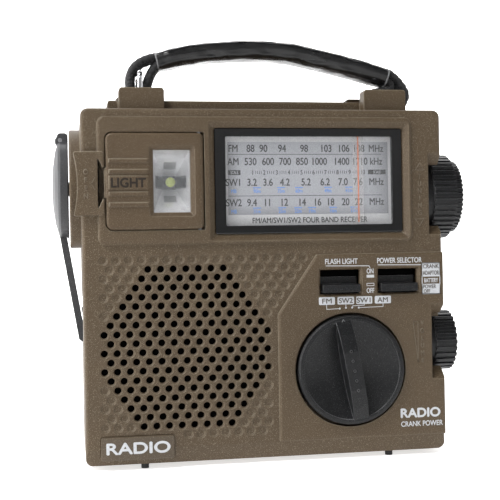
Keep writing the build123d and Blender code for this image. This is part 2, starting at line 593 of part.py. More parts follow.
with BuildPart() as volume_knob:
    disc_x(volume_y, volume_z, volume_r - 1.2, well_x + 0.4, 74.0)
    ribbed_disc(volume_y, volume_z, volume_r, 28, 0.9, 74.0, 83.3)
    disc_x(volume_y, volume_z, shaft_r, 56.0, 71.5)
volume_knob.part.label = "volume_knob"
export_step(volume_knob.part, "parts/volume_knob.step")

with BuildPart() as volume_control:
    disc_x(volume_y, volume_z, 8.0, 56.0, 66.0)
    disc_x(volume_y, volume_z, shaft_r + run, 55, 67, Mode.SUBTRACT)
volume_control.part.label = "volume_control"
export_step(volume_control.part, "parts/volume_control.step")

# ---------------------------------------------------------------- crank
boss_x = left_x - boss_proud

with BuildPart() as crank_disc:
    turned_x([(boss_x - 0.3, 0), (boss_x - 0.3, disc_r - 0.4), (boss_x - 0.7, disc_r), (-84.4, disc_r),
              (-85.3, disc_r - 0.9), (-86.6, 16.0), (-87.6, 9.5), (-88.0, 3.0), (-88.0, 0)], hub_y, hub_z)
    # ears that hold the folding arm
    for side in (-1, 1):
        with BuildSketch(Plane.XZ.offset(-(hub_y + side * 6.2 + 1.5))):
            with Locations((-83.3, hub_z + 18.0)):
                RectangleRounded(4.6, 11.0, 1.5)
        extrude(amount=3.0)
    # slot that takes the folded arm
    side_slab([(hub_y - 4.7, hub_z - 30), (hub_y + 4.7, hub_z - 30), (hub_y + 4.7, hub_z + 30),
               (hub_y - 4.7, hub_z + 30)], -90, -81.8, Mode.SUBTRACT)
    disc_y(arm_pin_x, arm_pin_z, 0.9, hub_y - 9, hub_y + 9, Mode.SUBTRACT)
crank_disc.part.label = "crank_disc"
export_step(crank_disc.part, "parts/crank_disc.step")

with BuildPart() as crank_shaft:
    disc_x(hub_y, hub_z, shaft_r, boss_x - 0.3, -62.0)
crank_shaft.part.label = "crank_shaft"
export_step(crank_shaft.part, "parts/crank_shaft.step")

with BuildPart() as crank_arm_pin:
    disc_y(arm_pin_x, arm_pin_z, 0.9, hub_y - 7.7, hub_y + 7.7)
crank_arm_pin.part.label = "crank_arm_pin"
export_step(crank_arm_pin.part, "parts/crank_arm_pin.step")

lean = radians(arm_lean)
bend_z = hub_z - 20.0
arm_t = 3.0
arm_out = -85.1
grip_out_x = arm_out + (bend_z - grip_z) * tan(lean)


def arm_outline(z_top):
    """Side view of the arm, (x, z): straight in the disc, then leaning in to the grip."""
    low_z, tip_cut = 51.5, 1.2
    low_x = arm_out + (bend_z - low_z) * tan(lean)
    tip_x = arm_out + arm_t + (bend_z - low_z + tip_cut) * tan(lean)
    return [(arm_out, z_top), (arm_out, bend_z), (low_x, low_z), (low_x + 1.4, low_z - tip_cut),
            (tip_x, low_z - tip_cut), (arm_out + arm_t, bend_z), (arm_out + arm_t, z_top)]


with BuildPart() as crank_arm:
    with BuildSketch(Plane.XZ.offset(-(hub_y + 4.2))):
        with BuildLine():
            Polyline(*arm_outline(arm_pin_z), close=True)
        make_face()
    extrude(amount=8.4)
    disc_y(arm_pin_x, arm_pin_z, 2.2, hub_y - 4.2, hub_y + 4.2)
    # hollow back of the channel
    with BuildSketch(Plane.XZ.offset(-(hub_y + 3.1))):
        with BuildLine():
            Polyline((arm_out + 1.2, arm_pin_z - 5), (arm_out + 1.2, bend_z),
                     (arm_out + 1.2 + (bend_z - 66) * tan(lean), 66), (-74.0, 66),
                     (-79.0, arm_pin_z - 5), close=True)
        make_face()
    extrude(amount=6.2, mode=Mode.SUBTRACT)
    disc_y(arm_pin_x, arm_pin_z, 0.9 + run, hub_y - 6, hub_y + 6, Mode.SUBTRACT)
crank_arm.part.label = "crank_arm"
export_step(crank_arm.part, "parts/crank_arm.step")

# the grip turns on a stud square to the arm
grip_in = (cos(lean), 0, sin(lean))
stud_plane = Plane((grip_out_x + arm_t, hub_y, grip_z), x_dir=(0, 1, 0), z_dir=grip_in)
with BuildPart() as crank_grip_stud:
    with BuildSketch(stud_plane):
        Circle(1.6)
    extrude(amount=grip_l - 1.0)
    with BuildSketch(stud_plane.offset(grip_l - 1.3)):
        Circle(2.6)
    extrude(amount=0.8)
crank_grip_stud.part.label = "crank_grip_stud"
export_step(crank_grip_stud.part, "parts/crank_grip_stud.step")

with BuildPart() as crank_grip:
    with BuildSketch(stud_plane.offset(0.45)):
        Circle(grip_r)
    extrude(amount=grip_l - 0.4)
    fillet(crank_grip.edges().filter_by(GeomType.CIRCLE), 1.0)
    with BuildSketch(stud_plane):
        Circle(1.6 + run)
    extrude(amount=grip_l - 1.0, mode=Mode.SUBTRACT)
    with BuildSketch(stud_plane.offset(grip_l - 1.4)):
        Circle(2.75)
    extrude(amount=3.0, mode=Mode.SUBTRACT)
crank_grip.part.label = "crank_grip"
export_step(crank_grip.part, "parts/crank_grip.step")

with BuildPart() as drive_gear:
    gear_face(hub_y, hub_z, wheel_teeth, 0.0, shaft_r)
drive_gear.part.label = "drive_gear"
export_step(drive_gear.part, "parts/drive_gear.step")

with BuildPart() as dynamo_pinion:
    gear_face(hub_y, dynamo_z, pinion_teeth, 15.0, 1.5)
dynamo_pinion.part.label = "dynamo_pinion"
export_step(dynamo_pinion.part, "parts/dynamo_pinion.step")

with BuildPart() as dynamo_rotor:
    disc_x(hub_y, dynamo_z, 1.5, -73.0, -44.0)
    disc_x(hub_y, dynamo_z, 10.0, -61.0, -49.0)
dynamo_rotor.part.label = "dynamo_rotor"
export_step(dynamo_rotor.part, "parts/dynamo_rotor.step")

with BuildPart() as dynamo_can:
    disc_x(hub_y, dynamo_z, 13.0, -66.0, -44.5)
    disc_x(hub_y, dynamo_z, 10.4, -61.6, -48.4, Mode.SUBTRACT)
    disc_x(hub_y, dynamo_z, 1.5 + run, -67.0, -43.0, Mode.SUBTRACT)
dynamo_can.part.label = "dynamo_can"
export_step(dynamo_can.part, "parts/dynamo_can.step")

# ---------------------------------------------------------------- speaker
speaker_y = front_y + wall + 0.3
with BuildPart() as speaker_frame:
    turned_y([(speaker_y, speaker_r), (speaker_y + 3, speaker_r), (speaker_y + 3, 33.0), (speaker_y + 14, 20.0),
              (speaker_y + 14, 12.0), (speaker_y + 12.8, 12.0), (speaker_y + 12.8, 19.0),
              (speaker_y + 1.5, 32.0), (speaker_y, 34.0)], speaker_x, speaker_z)
speaker_frame.part.label = "speaker_frame"
export_step(speaker_frame.part, "parts/speaker_frame.step")

with BuildPart() as speaker_cone:
    turned_y([(speaker_y + 0.6, 31.5), (speaker_y + 1.4, 31.5), (speaker_y + 11.5, 11.0),
              (speaker_y + 9.5, 0), (speaker_y + 8.7, 0), (speaker_y + 10.5, 11.0)], speaker_x, speaker_z)
speaker_cone.part.label = "speaker_cone"
export_step(speaker_cone.part, "parts/speaker_cone.step")

with BuildPart() as speaker_magnet:
    disc_y(speaker_x, speaker_z, 19.0, speaker_y + 14, speaker_y + 24)
speaker_magnet.part.label = "speaker_magnet"
export_step(speaker_magnet.part, "parts/speaker_magnet.step")

# ---------------------------------------------------------------- electronics
with BuildPart() as main_board:
    panel(2.0, 66.0, 12.0, 92.0, front_y + 24.5, front_y + 26.1)
main_board.part.label = "main_board"
export_step(main_board.part, "parts/main_board.step")

rod_y, rod_z, rod_r = 16.0, 138.0, 4.5
with BuildPart() as ferrite_rod:
    disc_x(rod_y, rod_z, rod_r, -45.0, 45.0)
ferrite_rod.part.label = "ferrite_rod"
export_step(ferrite_rod.part, "parts/ferrite_rod.step")

with BuildPart() as aerial_coil:
    disc_x(rod_y, rod_z, 6.2, -30.0, 0.0)
    disc_x(rod_y, rod_z, rod_r + run, -31.0, 1.0, Mode.SUBTRACT)
aerial_coil.part.label = "aerial_coil"
export_step(aerial_coil.part, "parts/aerial_coil.step")

with BuildPart() as recharge_pack:
    for i in range(3):
        disc_x(14.0, 96.0, 7.0, -30.0 + 15 * i, -15.4 + 15 * i)
recharge_pack.part.label = "recharge_pack"
export_step(recharge_pack.part, "parts/recharge_pack.step")

# ---------------------------------------------------------------- batteries
cell_y = back_y - bay_depth - 1.6 + cell_r + 1.2
cell_z = (bay_z0 + 4 + bay_z1) / 2
with BuildPart() as batteries:
    for i in range(cell_count):
        x = (bay_x0 + bay_x1) / 2 + (i - 1) * cell_pitch
        disc_z(x, cell_y, cell_r, cell_z - cell_l / 2, cell_z + cell_l / 2 - 1.2)
        disc_z(x, cell_y, 2.6, cell_z + cell_l / 2 - 1.2, cell_z + cell_l / 2)
batteries.part.label = "batteries"
export_step(batteries.part, "parts/batteries.step")

with BuildPart() as battery_contacts:
    for i in range(cell_count):
        x = (bay_x0 + bay_x1) / 2 + (i - 1) * cell_pitch
        panel(x - 4.5, x + 4.5, cell_z - cell_l / 2 - 0.5, cell_z - cell_l / 2, cell_y - 4.5, cell_y + 4.5)
        panel(x - 4.5, x + 4.5, cell_z + cell_l / 2, cell_z + cell_l / 2 + 0.5, cell_y - 4.5, cell_y + 4.5)
battery_contacts.part.label = "battery_contacts"
export_step(battery_contacts.part, "parts/battery_contacts.step")

with BuildPart() as battery_door:
    panel(bay_x0 - 1.65, bay_x1 + 1.65, cover_hinge_z, bay_z1 + 1.65, back_y - 2.4, back_y)
    disc_x(cover_hinge_y, cover_hinge_z, 1.2, bay_x0 - 1.65, bay_x1 + 1.65)
    for i in range(5):
        panel(bay_x0 + 17, bay_x1 - 17, bay_z1 - 12 + 2 * i, bay_z1 - 11 + 2 * i, back_y - 0.5, back_y + 1, 0.0,
              Mode.SUBTRACT)
    disc_x(cover_hinge_y, cover_hinge_z, pin_r + run, bay_x0 - 3, bay_x1 + 3, Mode.SUBTRACT)
battery_door.part.label = "battery_door"
export_step(battery_door.part, "parts/battery_door.step")

with BuildPart() as battery_hinge_pin:
    disc_x(cover_hinge_y, cover_hinge_z, pin_r, bay_x0 - 4.3, bay_x1 + 4.3)
battery_hinge_pin.part.label = "battery_hinge_pin"
export_step(battery_hinge_pin.part, "parts/battery_hinge_pin.step")

# ---------------------------------------------------------------- sockets
with BuildPart() as earphone_socket:
    disc_y(earphone_x, socket_z, earphone_r, back_y - 14, back_y)
    disc_y(earphone_x, socket_z, earphone_bore, back_y - 12, back_y + 1, Mode.SUBTRACT)
earphone_socket.part.label = "earphone_socket"
export_step(earphone_socket.part, "parts/earphone_socket.step")

with BuildPart() as power_socket:
    disc_y(power_x, socket_z, power_r, back_y - 12, back_y)
    disc_y(power_x, socket_z, power_bore, back_y - 10, back_y + 1, Mode.SUBTRACT)
power_socket.part.label = "power_socket"
export_step(power_socket.part, "parts/power_socket.step")

# ---------------------------------------------------------------- telescopic aerial
with BuildPart() as aerial_turntable:
    disc_z(aerial_x, aerial_y, 4.5, top_z + 0.2, top_z + 2.2)
    disc_z(aerial_x, aerial_y, shaft_r, top_z - wall, top_z + 0.2)
    for side in (-1, 1):
        with BuildSketch(Plane.XZ.offset(-(aerial_y + side * 3.2 + 0.8))):
            with Locations((aerial_x, top_z + 2.2)):
                Rectangle(5.6, 6.2, align=(Align.CENTER, Align.MIN))
            with Locations((aerial_x, aerial_z)):
                Circle(2.8)
        extrude(amount=1.6)
    disc_y(aerial_x, aerial_z, 1.0, aerial_y - 5, aerial_y + 5, Mode.SUBTRACT)
aerial_turntable.part.label = "aerial_turntable"
export_step(aerial_turntable.part, "parts/aerial_turntable.step")

with BuildPart() as aerial_pin:
    disc_y(aerial_x, aerial_z, 1.0, aerial_y - 4.0, aerial_y + 4.0)
aerial_pin.part.label = "aerial_pin"
export_step(aerial_pin.part, "parts/aerial_pin.step")

with BuildPart() as aerial_knuckle:
    disc_y(aerial_x, aerial_z, 2.6, aerial_y - 2.2, aerial_y + 2.2)
    disc_x(aerial_y, aerial_z, 2.0, 55.0, aerial_x)
    disc_y(aerial_x, aerial_z, 1.0 + run, aerial_y - 3, aerial_y + 3, Mode.SUBTRACT)
aerial_knuckle.part.label = "aerial_knuckle"
export_step(aerial_knuckle.part, "parts/aerial_knuckle.step")

tube_radii = (2.45, 2.0, 1.55, 1.1)
tube_wall = 0.4
for i, r in enumerate(tube_radii):
    with BuildPart() as aerial_tube:
        start, end = 57.0 - 4 * i, -50.0 - 2.0 * i
        if i == 0:
            disc_x(aerial_y, aerial_z, r, end, 60.0)
            disc_x(aerial_y, aerial_z, 2.0, 55.0, 61.0, Mode.SUBTRACT)
            disc_x(aerial_y, aerial_z, r - tube_wall, end - 1, 55.0, Mode.SUBTRACT)
        elif i < 3:
            disc_x(aerial_y, aerial_z, r, end, start - 4)
            disc_x(aerial_y, aerial_z, r - tube_wall, end - 1, start - 3, Mode.SUBTRACT)
        else:
            disc_x(aerial_y, aerial_z, r, end, start - 4)
            disc_x(aerial_y, aerial_z, 2.4, end - 5, end)
    aerial_tube.part.label = f"aerial_tube_{i + 1}"
    export_step(aerial_tube.part, f"parts/aerial_tube_{i + 1}.step")

# ---------------------------------------------------------------- carrying strap
for node, x, tip in (("left_ring", left_post_x, 0.0), ("right_ring", right_post_x, right_ring_lean)):
    up = (sin(radians(tip)), 0, cos(radians(tip)))
    ring_plane = Plane((x, strap_y, bar_z), x_dir=(0, 1, 0), z_dir=(cos(radians(tip)), 0, -sin(radians(tip))))
    with BuildPart() as ring:
        with BuildLine(ring_plane):
            FilletPolyline((-ring_half, 0), (-ring_half, ring_h), (ring_half, ring_h), (ring_half, 0), radius=3.0)
        with BuildSketch(Plane((x, strap_y - ring_half, bar_z), z_dir=up)):
            Circle(wire_r)
        sweep()
        disc_y(x, bar_z, wire_r, post_y1 - 2.3, lug_y0 + 2.3)
    ring.part.label = node
    export_step(ring.part, f"parts/{node}.step")

# the strap seen from the front, (x, z): the sleeve's middle line and the two webbing loops
strap_line = [(-43.2, 169.5), (-28.3, 172.9), (-7.2, 175.0), (13.0, 174.5), (27.3, 171.8), (43.6, 168.1),
              (59.0, 163.8)]
left_loop = [(-43.2, 172.2), (-48.7, 170.0), (-52.7, 166.8), (-54.5, 163.0), (-54.7, 157.5), (-53.8, 153.0),
             (-50.7, 150.3), (-48.0, 153.0), (-48.2, 157.5), (-46.8, 162.3), (-43.2, 166.8)]
right_loop = [(59.0, 166.2), (63.0, 163.2), (66.7, 158.8), (67.8, 155.0), (65.2, 151.9), (59.0, 150.4),
              (53.7, 150.2), (50.7, 152.6), (52.0, 156.0), (56.5, 157.5), (60.6, 158.6), (61.6, 160.3), (59.0, 161.4)]
sleeve_t, sleeve_w, webbing_t = 8.8, 15.0, 1.2


def ribbon(stations, thickness, width):
    """Band of even thickness following the stations, both ends cut upright."""
    rounded = []
    last = len(stations) - 1
    for i in range(last):
        p0, p1, p2, p3 = (stations[max(0, min(last, i + k))] for k in (-1, 0, 1, 2))
        for t in (0.0, 0.25, 0.5, 0.75):
            rounded.append(tuple(
                p1[a] + 0.5 * t * (p2[a] - p0[a] + t * (2 * p0[a] - 5 * p1[a] + 4 * p2[a] - p3[a]
                                   + t * (3 * p1[a] - p0[a] - 3 * p2[a] + p3[a]))) for a in (0, 1)))
    rounded.append(stations[-1])
    upper, lower = [], []
    for i, (x, z) in enumerate(rounded):
        (xa, za), (xb, zb) = rounded[max(0, i - 1)], rounded[min(len(rounded) - 1, i + 1)]
        length = ((xb - xa) ** 2 + (zb - za) ** 2) ** 0.5
        across = (-(zb - za) / length, (xb - xa) / length)
        if i in (0, len(rounded) - 1):
            across = (0.0, 1.0 if xb > xa else -1.0)
        upper.append((x + across[0] * thickness / 2, z + across[1] * thickness / 2))
        lower.append((x - across[0] * thickness / 2, z - across[1] * thickness / 2))
    with BuildSketch(Plane.XZ.offset(-(strap_y + width / 2))) as outline:
        with BuildLine():
            Polyline(*upper, *lower[::-1], close=True)
        make_face()
    extrude(outline.sketch, amount=width)


with BuildPart() as strap_webbing:
    ribbon(left_loop, webbing_t, strap_w)
    ribbon(right_loop, webbing_t, strap_w)
strap_webbing.part.label = "strap_webbing"
export_step(strap_webbing.part, "parts/strap_webbing.step")

with BuildPart() as strap_sleeve:
    ribbon(strap_line, sleeve_t, sleeve_w)
strap_sleeve.part.label = "strap_sleeve"
export_step(strap_sleeve.part, "parts/strap_sleeve.step")
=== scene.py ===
import json
from math import cos, pi, radians, sin

import bmesh
import bpy
from mathutils import Matrix, Vector, noise


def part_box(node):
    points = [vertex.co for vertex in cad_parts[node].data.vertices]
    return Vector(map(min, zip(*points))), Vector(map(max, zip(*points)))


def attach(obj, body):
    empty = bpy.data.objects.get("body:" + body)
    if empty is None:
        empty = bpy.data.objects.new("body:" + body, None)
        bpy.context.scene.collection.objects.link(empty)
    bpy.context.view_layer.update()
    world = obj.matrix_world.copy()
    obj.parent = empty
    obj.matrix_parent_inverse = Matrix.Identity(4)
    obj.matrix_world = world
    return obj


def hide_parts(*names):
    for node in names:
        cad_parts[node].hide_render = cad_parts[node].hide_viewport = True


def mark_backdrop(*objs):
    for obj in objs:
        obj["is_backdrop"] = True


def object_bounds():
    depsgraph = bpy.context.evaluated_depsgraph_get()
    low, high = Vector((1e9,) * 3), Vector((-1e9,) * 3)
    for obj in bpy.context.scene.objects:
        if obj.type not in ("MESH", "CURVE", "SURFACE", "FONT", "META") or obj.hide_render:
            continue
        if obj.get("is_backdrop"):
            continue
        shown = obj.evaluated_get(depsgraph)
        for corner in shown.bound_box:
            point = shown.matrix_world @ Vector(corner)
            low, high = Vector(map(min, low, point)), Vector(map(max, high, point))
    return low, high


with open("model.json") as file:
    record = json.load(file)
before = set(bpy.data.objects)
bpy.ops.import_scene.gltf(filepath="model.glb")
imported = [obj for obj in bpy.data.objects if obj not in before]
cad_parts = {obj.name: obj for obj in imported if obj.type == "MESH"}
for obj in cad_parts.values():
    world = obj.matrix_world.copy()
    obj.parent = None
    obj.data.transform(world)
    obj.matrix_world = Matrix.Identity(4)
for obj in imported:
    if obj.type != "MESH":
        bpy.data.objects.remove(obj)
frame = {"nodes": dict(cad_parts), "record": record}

MM = 0.001
nodes = frame["nodes"]
cad_low, cad_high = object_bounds()

# faces that carry print, from the CAD nodes (metres)
card_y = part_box("dial_card")[0].y
panel_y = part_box("front_case")[0].y + 0.5 * MM
front_y = panel_y + 1.2 * MM
door_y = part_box("lamp_door")[0].y + 0.5 * MM
plate_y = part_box("name_plate")[0].y
window_low, window_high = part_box("dial_window")

INK = 0.04 * MM          # thickness of a printed layer
INK_OVER = 0.05 * MM     # extra lift of words printed on a printed patch
RAISED = 0.18 * MM       # height of marks moulded in the case


# ---------------------------------------------------------------- materials
def new_material(name, colour, roughness, **sockets):
    """Principled material. Sockets are given by name with underscores for spaces."""
    material = bpy.data.materials.new(name)
    material.use_nodes = True
    shader = material.node_tree.nodes["Principled BSDF"]
    shader.inputs["Base Color"].default_value = (*colour, 1.0)
    shader.inputs["Roughness"].default_value = roughness
    for key, value in sockets.items():
        shader.inputs[key.replace("_", " ")].default_value = value
    return material, material.node_tree, shader


def add(tree, kind, **values):
    """New node; values set its attributes or, when they aren't attributes, its inputs."""
    node = tree.nodes.new(kind)
    for key, value in values.items():
        if hasattr(node, key):
            setattr(node, key, value)
        else:
            node.inputs[key.replace("_", " ")].default_value = value
    return node


def noise_at(tree, scale, detail=2.0, stretch=(1.0, 1.0, 1.0)):
    """Noise in the object's own metres, with its pattern stretched along the axes."""
    place = add(tree, "ShaderNodeTexCoord")
    mapping = add(tree, "ShaderNodeMapping")
    mapping.inputs["Scale"].default_value = stretch
    texture = add(tree, "ShaderNodeTexNoise", Scale=scale, Detail=detail)
    tree.links.new(place.outputs["Object"], mapping.inputs["Vector"])
    tree.links.new(mapping.outputs["Vector"], texture.inputs["Vector"])
    return texture.outputs["Fac"]


def remap(tree, value, low, high, to_low=0.0, to_high=1.0):
    node = add(tree, "ShaderNodeMapRange")
    for socket, number in zip(("From Min", "From Max", "To Min", "To Max"), (low, high, to_low, to_high)):
        node.inputs[socket].default_value = number
    tree.links.new(value, node.inputs["Value"])
    return node.outputs["Result"]


def blend_colour(tree, factor, first, second):
    """Mix of two colours by a factor; each is a colour or a socket."""
    node = add(tree, "ShaderNodeMix", data_type="RGBA")
    tree.links.new(factor, node.inputs["Factor"])
    for socket, value in ((node.inputs[6], first), (node.inputs[7], second)):
        if isinstance(value, tuple):
            socket.default_value = (*value, 1.0)
        else:
            tree.links.new(value, socket)
    return node.outputs[2]


def product(tree, first, second):
    node = add(tree, "ShaderNodeMath", operation="MULTIPLY")
    tree.links.new(first, node.inputs[0])
    tree.links.new(second, node.inputs[1])
    return node.outputs[0]


def bump_from(tree, height, distance, strength=1.0, normal=None):
    node = add(tree, "ShaderNodeBump", Strength=strength, Distance=distance)
    tree.links.new(height, node.inputs["Height"])
    if normal is not None:
        tree.links.new(normal, node.inputs["Normal"])
    return node.outputs["Normal"]


def edge_highlight_mask(tree, radius):
    """Softly rounded normal at the edges, and a mask along them.

    The mask is a painted highlight, strongest on the edges that face up and to the left, towards the key
    light."""
    bevel = add(tree, "ShaderNodeBevel", samples=6, Radius=radius)
    geometry = add(tree, "ShaderNodeNewGeometry")
    facing = add(tree, "ShaderNodeVectorMath", operation="DOT_PRODUCT")
    tree.links.new(bevel.outputs["Normal"], facing.inputs[0])
    tree.links.new(geometry.outputs["Normal"], facing.inputs[1])
    # painted highlight: weighted towards edges that face the key light, up and to the left
    upward = add(tree, "ShaderNodeVectorMath", operation="DOT_PRODUCT")
    upward.inputs[1].default_value = (-0.5, -0.2, 0.84)
    tree.links.new(bevel.outputs["Normal"], upward.inputs[0])
    mask = product(tree, remap(tree, facing.outputs["Value"], 0.99, 0.86),
                   remap(tree, upward.outputs["Value"], 0.0, 0.55, 0.12, 1.0))
    return bevel.outputs["Normal"], mask


def moulded_plastic(name, colour, roughness, grain=0.45 * MM, depth=0.03 * MM, sparkle=0.35, edge_highlight=0.5,
                    pale_tone=None, bevel=0.45 * MM, **sockets):
    """Fine-grained moulding: speckle, uneven tone, a textured surface and edges painted lighter as a painted
    highlight.
    """
    material, tree, shader = new_material(name, colour, roughness, **sockets)
    dark = tuple(0.78 * c for c in colour)
    light = tuple(min(1.0, c * 1.3) for c in colour)
    pale_tone = pale_tone or tuple(min(1.0, 1.9 * c + 0.01) for c in colour)
    tone = remap(tree, noise_at(tree, 28.0, 4.0), 0.35, 0.65)
    speckle = remap(tree, noise_at(tree, 1.0 / grain, 2.0), 0.42, 0.66)
    flecks = remap(tree, noise_at(tree, 1.7 / grain, 0.0), 0.66, 0.74, 0.0, sparkle)
    shade = blend_colour(tree, remap(tree, tone, 0.0, 1.0, 0.35, 0.65), dark, light)
    shade = blend_colour(tree, remap(tree, speckle, 0.0, 1.0, 0.0, 0.4), shade, dark)
    shade = blend_colour(tree, flecks, shade, pale_tone)
    # painted highlight: the edges are painted in the pale tone, patchy by noise; the same pale tone also
    # colours the flecks
    rounded, edges = edge_highlight_mask(tree, bevel)
    highlight_patches = remap(tree, noise_at(tree, 160.0, 5.0), 0.35, 0.7, 0.55 * edge_highlight, edge_highlight)
    shade = blend_colour(tree, product(tree, edges, highlight_patches), shade, pale_tone)
    tree.links.new(shade, shader.inputs["Base Color"])
    matt = remap(tree, tone, 0.0, 1.0, roughness - 0.05, roughness + 0.06)
    tree.links.new(matt, shader.inputs["Roughness"])
    height = noise_at(tree, 1.0 / grain, 3.0)
    tree.links.new(bump_from(tree, height, depth, 0.8, rounded), shader.inputs["Normal"])
    return material


def polished_metal(name, colour, roughness, scratch=(1.0, 1.0, 1.0), depth=0.002 * MM, metallic=1.0):
    """Plated or bare metal with a faint haze and fine scratches."""
    material, tree, shader = new_material(name, colour, roughness, Metallic=metallic)
    haze = noise_at(tree, 220.0, 5.0)
    lines = noise_at(tree, 1800.0, 2.0, scratch)
    matt = remap(tree, haze, 0.3, 0.7, 0.7 * roughness, 1.6 * roughness)
    tree.links.new(matt, shader.inputs["Roughness"])
    dull = tuple(0.8 * c for c in colour)
    shade = blend_colour(tree, remap(tree, haze, 0.35, 0.65), colour, dull)
    tree.links.new(shade, shader.inputs["Base Color"])
    tree.links.new(bump_from(tree, lines, depth, 0.5), shader.inputs["Normal"])
    return material


def printed_ink(name, colour, roughness=0.5):
    """Screen-printed ink with slightly uneven coverage."""
    material, tree, shader = new_material(name, colour, roughness)
    cover = remap(tree, noise_at(tree, 1500.0, 3.0), 0.3, 0.7)
    thin = tuple(0.86 * c for c in colour)
    tree.links.new(blend_colour(tree, cover, thin, colour), shader.inputs["Base Color"])
    return material


def clear_plastic(name, colour, alpha, roughness=0.05):
    """Thin clear moulding that shows what is behind it."""
    material, tree, shader = new_material(name, colour, roughness, Alpha=alpha, Coat_Weight=0.6)
    waves = noise_at(tree, 60.0, 2.0)
    tree.links.new(bump_from(tree, waves, 0.02 * MM, 0.3), shader.inputs["Normal"])
    return material


def glossy_vinyl(name):
    """Black vinyl skin: gloss broken up by soft creases, and a painted highlight along its long front edges,
    top and bottom.
    """
    black = (0.006, 0.006, 0.0065)
    material, tree, shader = new_material(name, black, 0.26, Coat_Weight=0.25, Coat_Roughness=0.15)
    path = add(tree, "ShaderNodeAttribute", attribute_name="path")
    parts = add(tree, "ShaderNodeSeparateXYZ")
    tree.links.new(path.outputs["Vector"], parts.inputs["Vector"])
    height = add(tree, "ShaderNodeMath", operation="ABSOLUTE")
    tree.links.new(parts.outputs["Z"], height.inputs[0])
    # painted highlight: paler along the front of the top and bottom edges, its strength varied by noise
    fold = product(tree, remap(tree, height.outputs[0], 3.3 * MM, 3.8 * MM),
                   remap(tree, parts.outputs["Y"], -4.0 * MM, -5.0 * MM))
    pale_tone = remap(tree, noise_at(tree, 260.0, 3.0), 0.35, 0.7)
    highlight_colour = blend_colour(tree, pale_tone, (0.02, 0.02, 0.021), (0.3, 0.3, 0.31))
    tree.links.new(blend_colour(tree, fold, black, highlight_colour), shader.inputs["Base Color"])
    creases = noise_at(tree, 130.0, 4.0, (0.35, 1.0, 1.0))
    grain = noise_at(tree, 1500.0, 2.0)
    folded = bump_from(tree, creases, 0.9 * MM, 0.55)
    tree.links.new(bump_from(tree, grain, 0.04 * MM, 0.5, folded), shader.inputs["Normal"])
    tree.links.new(remap(tree, creases, 0.3, 0.7, 0.2, 0.42), shader.inputs["Roughness"])
    return material


def woven_webbing(name):
    """Black polyester webbing; the weave follows the strap through its own path attribute."""
    material, tree, shader = new_material(name, (0.01, 0.01, 0.011), 0.8, Sheen_Weight=0.1)
    path = add(tree, "ShaderNodeAttribute", attribute_name="path")
    waves = []
    for direction in (1.0, -1.0):
        mapping = add(tree, "ShaderNodeMapping")
        mapping.inputs["Rotation"].default_value = (0.0, 0.0, direction * radians(45))
        wave = add(tree, "ShaderNodeTexWave", Scale=300.0, Distortion=0.6)
        tree.links.new(path.outputs["Vector"], mapping.inputs["Vector"])
        tree.links.new(mapping.outputs["Vector"], wave.inputs["Vector"])
        waves.append(wave.outputs["Fac"])
    weave = add(tree, "ShaderNodeMath", operation="MAXIMUM")
    tree.links.new(waves[0], weave.inputs[0])
    tree.links.new(waves[1], weave.inputs[1])
    shade = blend_colour(tree, weave.outputs[0], (0.003, 0.003, 0.003), (0.02, 0.02, 0.021))
    tree.links.new(shade, shader.inputs["Base Color"])
    tree.links.new(bump_from(tree, weave.outputs[0], 0.25 * MM, 0.9), shader.inputs["Normal"])
    return material


def radial_distance(tree, x, z):
    """Distance in metres from a line along Y through (x, z), in the object's own frame."""
    place = add(tree, "ShaderNodeTexCoord")
    shift = add(tree, "ShaderNodeVectorMath", operation="SUBTRACT")
    shift.inputs[1].default_value = (x, 0.0, z)
    flat = add(tree, "ShaderNodeVectorMath", operation="MULTIPLY")
    flat.inputs[1].default_value = (1.0, 0.0, 1.0)
    length = add(tree, "ShaderNodeVectorMath", operation="LENGTH")
    tree.links.new(place.outputs["Object"], shift.inputs[0])
    tree.links.new(shift.outputs["Vector"], flat.inputs[0])
    tree.links.new(flat.outputs["Vector"], length.inputs[0])
    return length.outputs["Value"]


def lit_dome(name):
    """LED: a yellow phosphor spot in the middle of a smoky dome."""
    material, tree, shader = new_material(name, (0.5, 0.6, 0.1), 0.2, Coat_Weight=1.0, Coat_Roughness=0.05)
    low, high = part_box("lamp_led")
    away = radial_distance(tree, 0.5 * (low.x + high.x), 0.5 * (low.z + high.z))
    speckle = remap(tree, noise_at(tree, 2200.0, 2.0), 0.35, 0.65)
    phosphor = blend_colour(tree, speckle, (0.34, 0.42, 0.05), (0.52, 0.6, 0.12))
    spot = remap(tree, away, 1.95 * MM, 2.1 * MM)
    tree.links.new(blend_colour(tree, spot, phosphor, (0.012, 0.012, 0.013)), shader.inputs["Base Color"])
    return material


def shaded_print(name):
    """Grey print of the dial field, darker towards its ends and its lower edge."""
    material = printed_ink(name, (0.43, 0.44, 0.48))
    tree = material.node_tree
    shader = tree.nodes["Principled BSDF"]
    parts = add(tree, "ShaderNodeSeparateXYZ")
    tree.links.new(add(tree, "ShaderNodeTexCoord").outputs["Object"], parts.inputs["Vector"])
    left, right, low = window_low.x, window_high.x, window_low.z
    shade = shader.inputs["Base Color"].links[0].from_socket
    for value, start, end in ((parts.outputs["X"], left + 7 * MM, left + 1 * MM),
                              (parts.outputs["X"], right - 9 * MM, right - 1 * MM),
                              (parts.outputs["Z"], low + 9 * MM, low + 4 * MM)):
        shade = blend_colour(tree, remap(tree, value, start, end, 0.0, 0.65), shade, (0.20, 0.205, 0.22))
    tree.links.new(shade, shader.inputs["Base Color"])
    return material


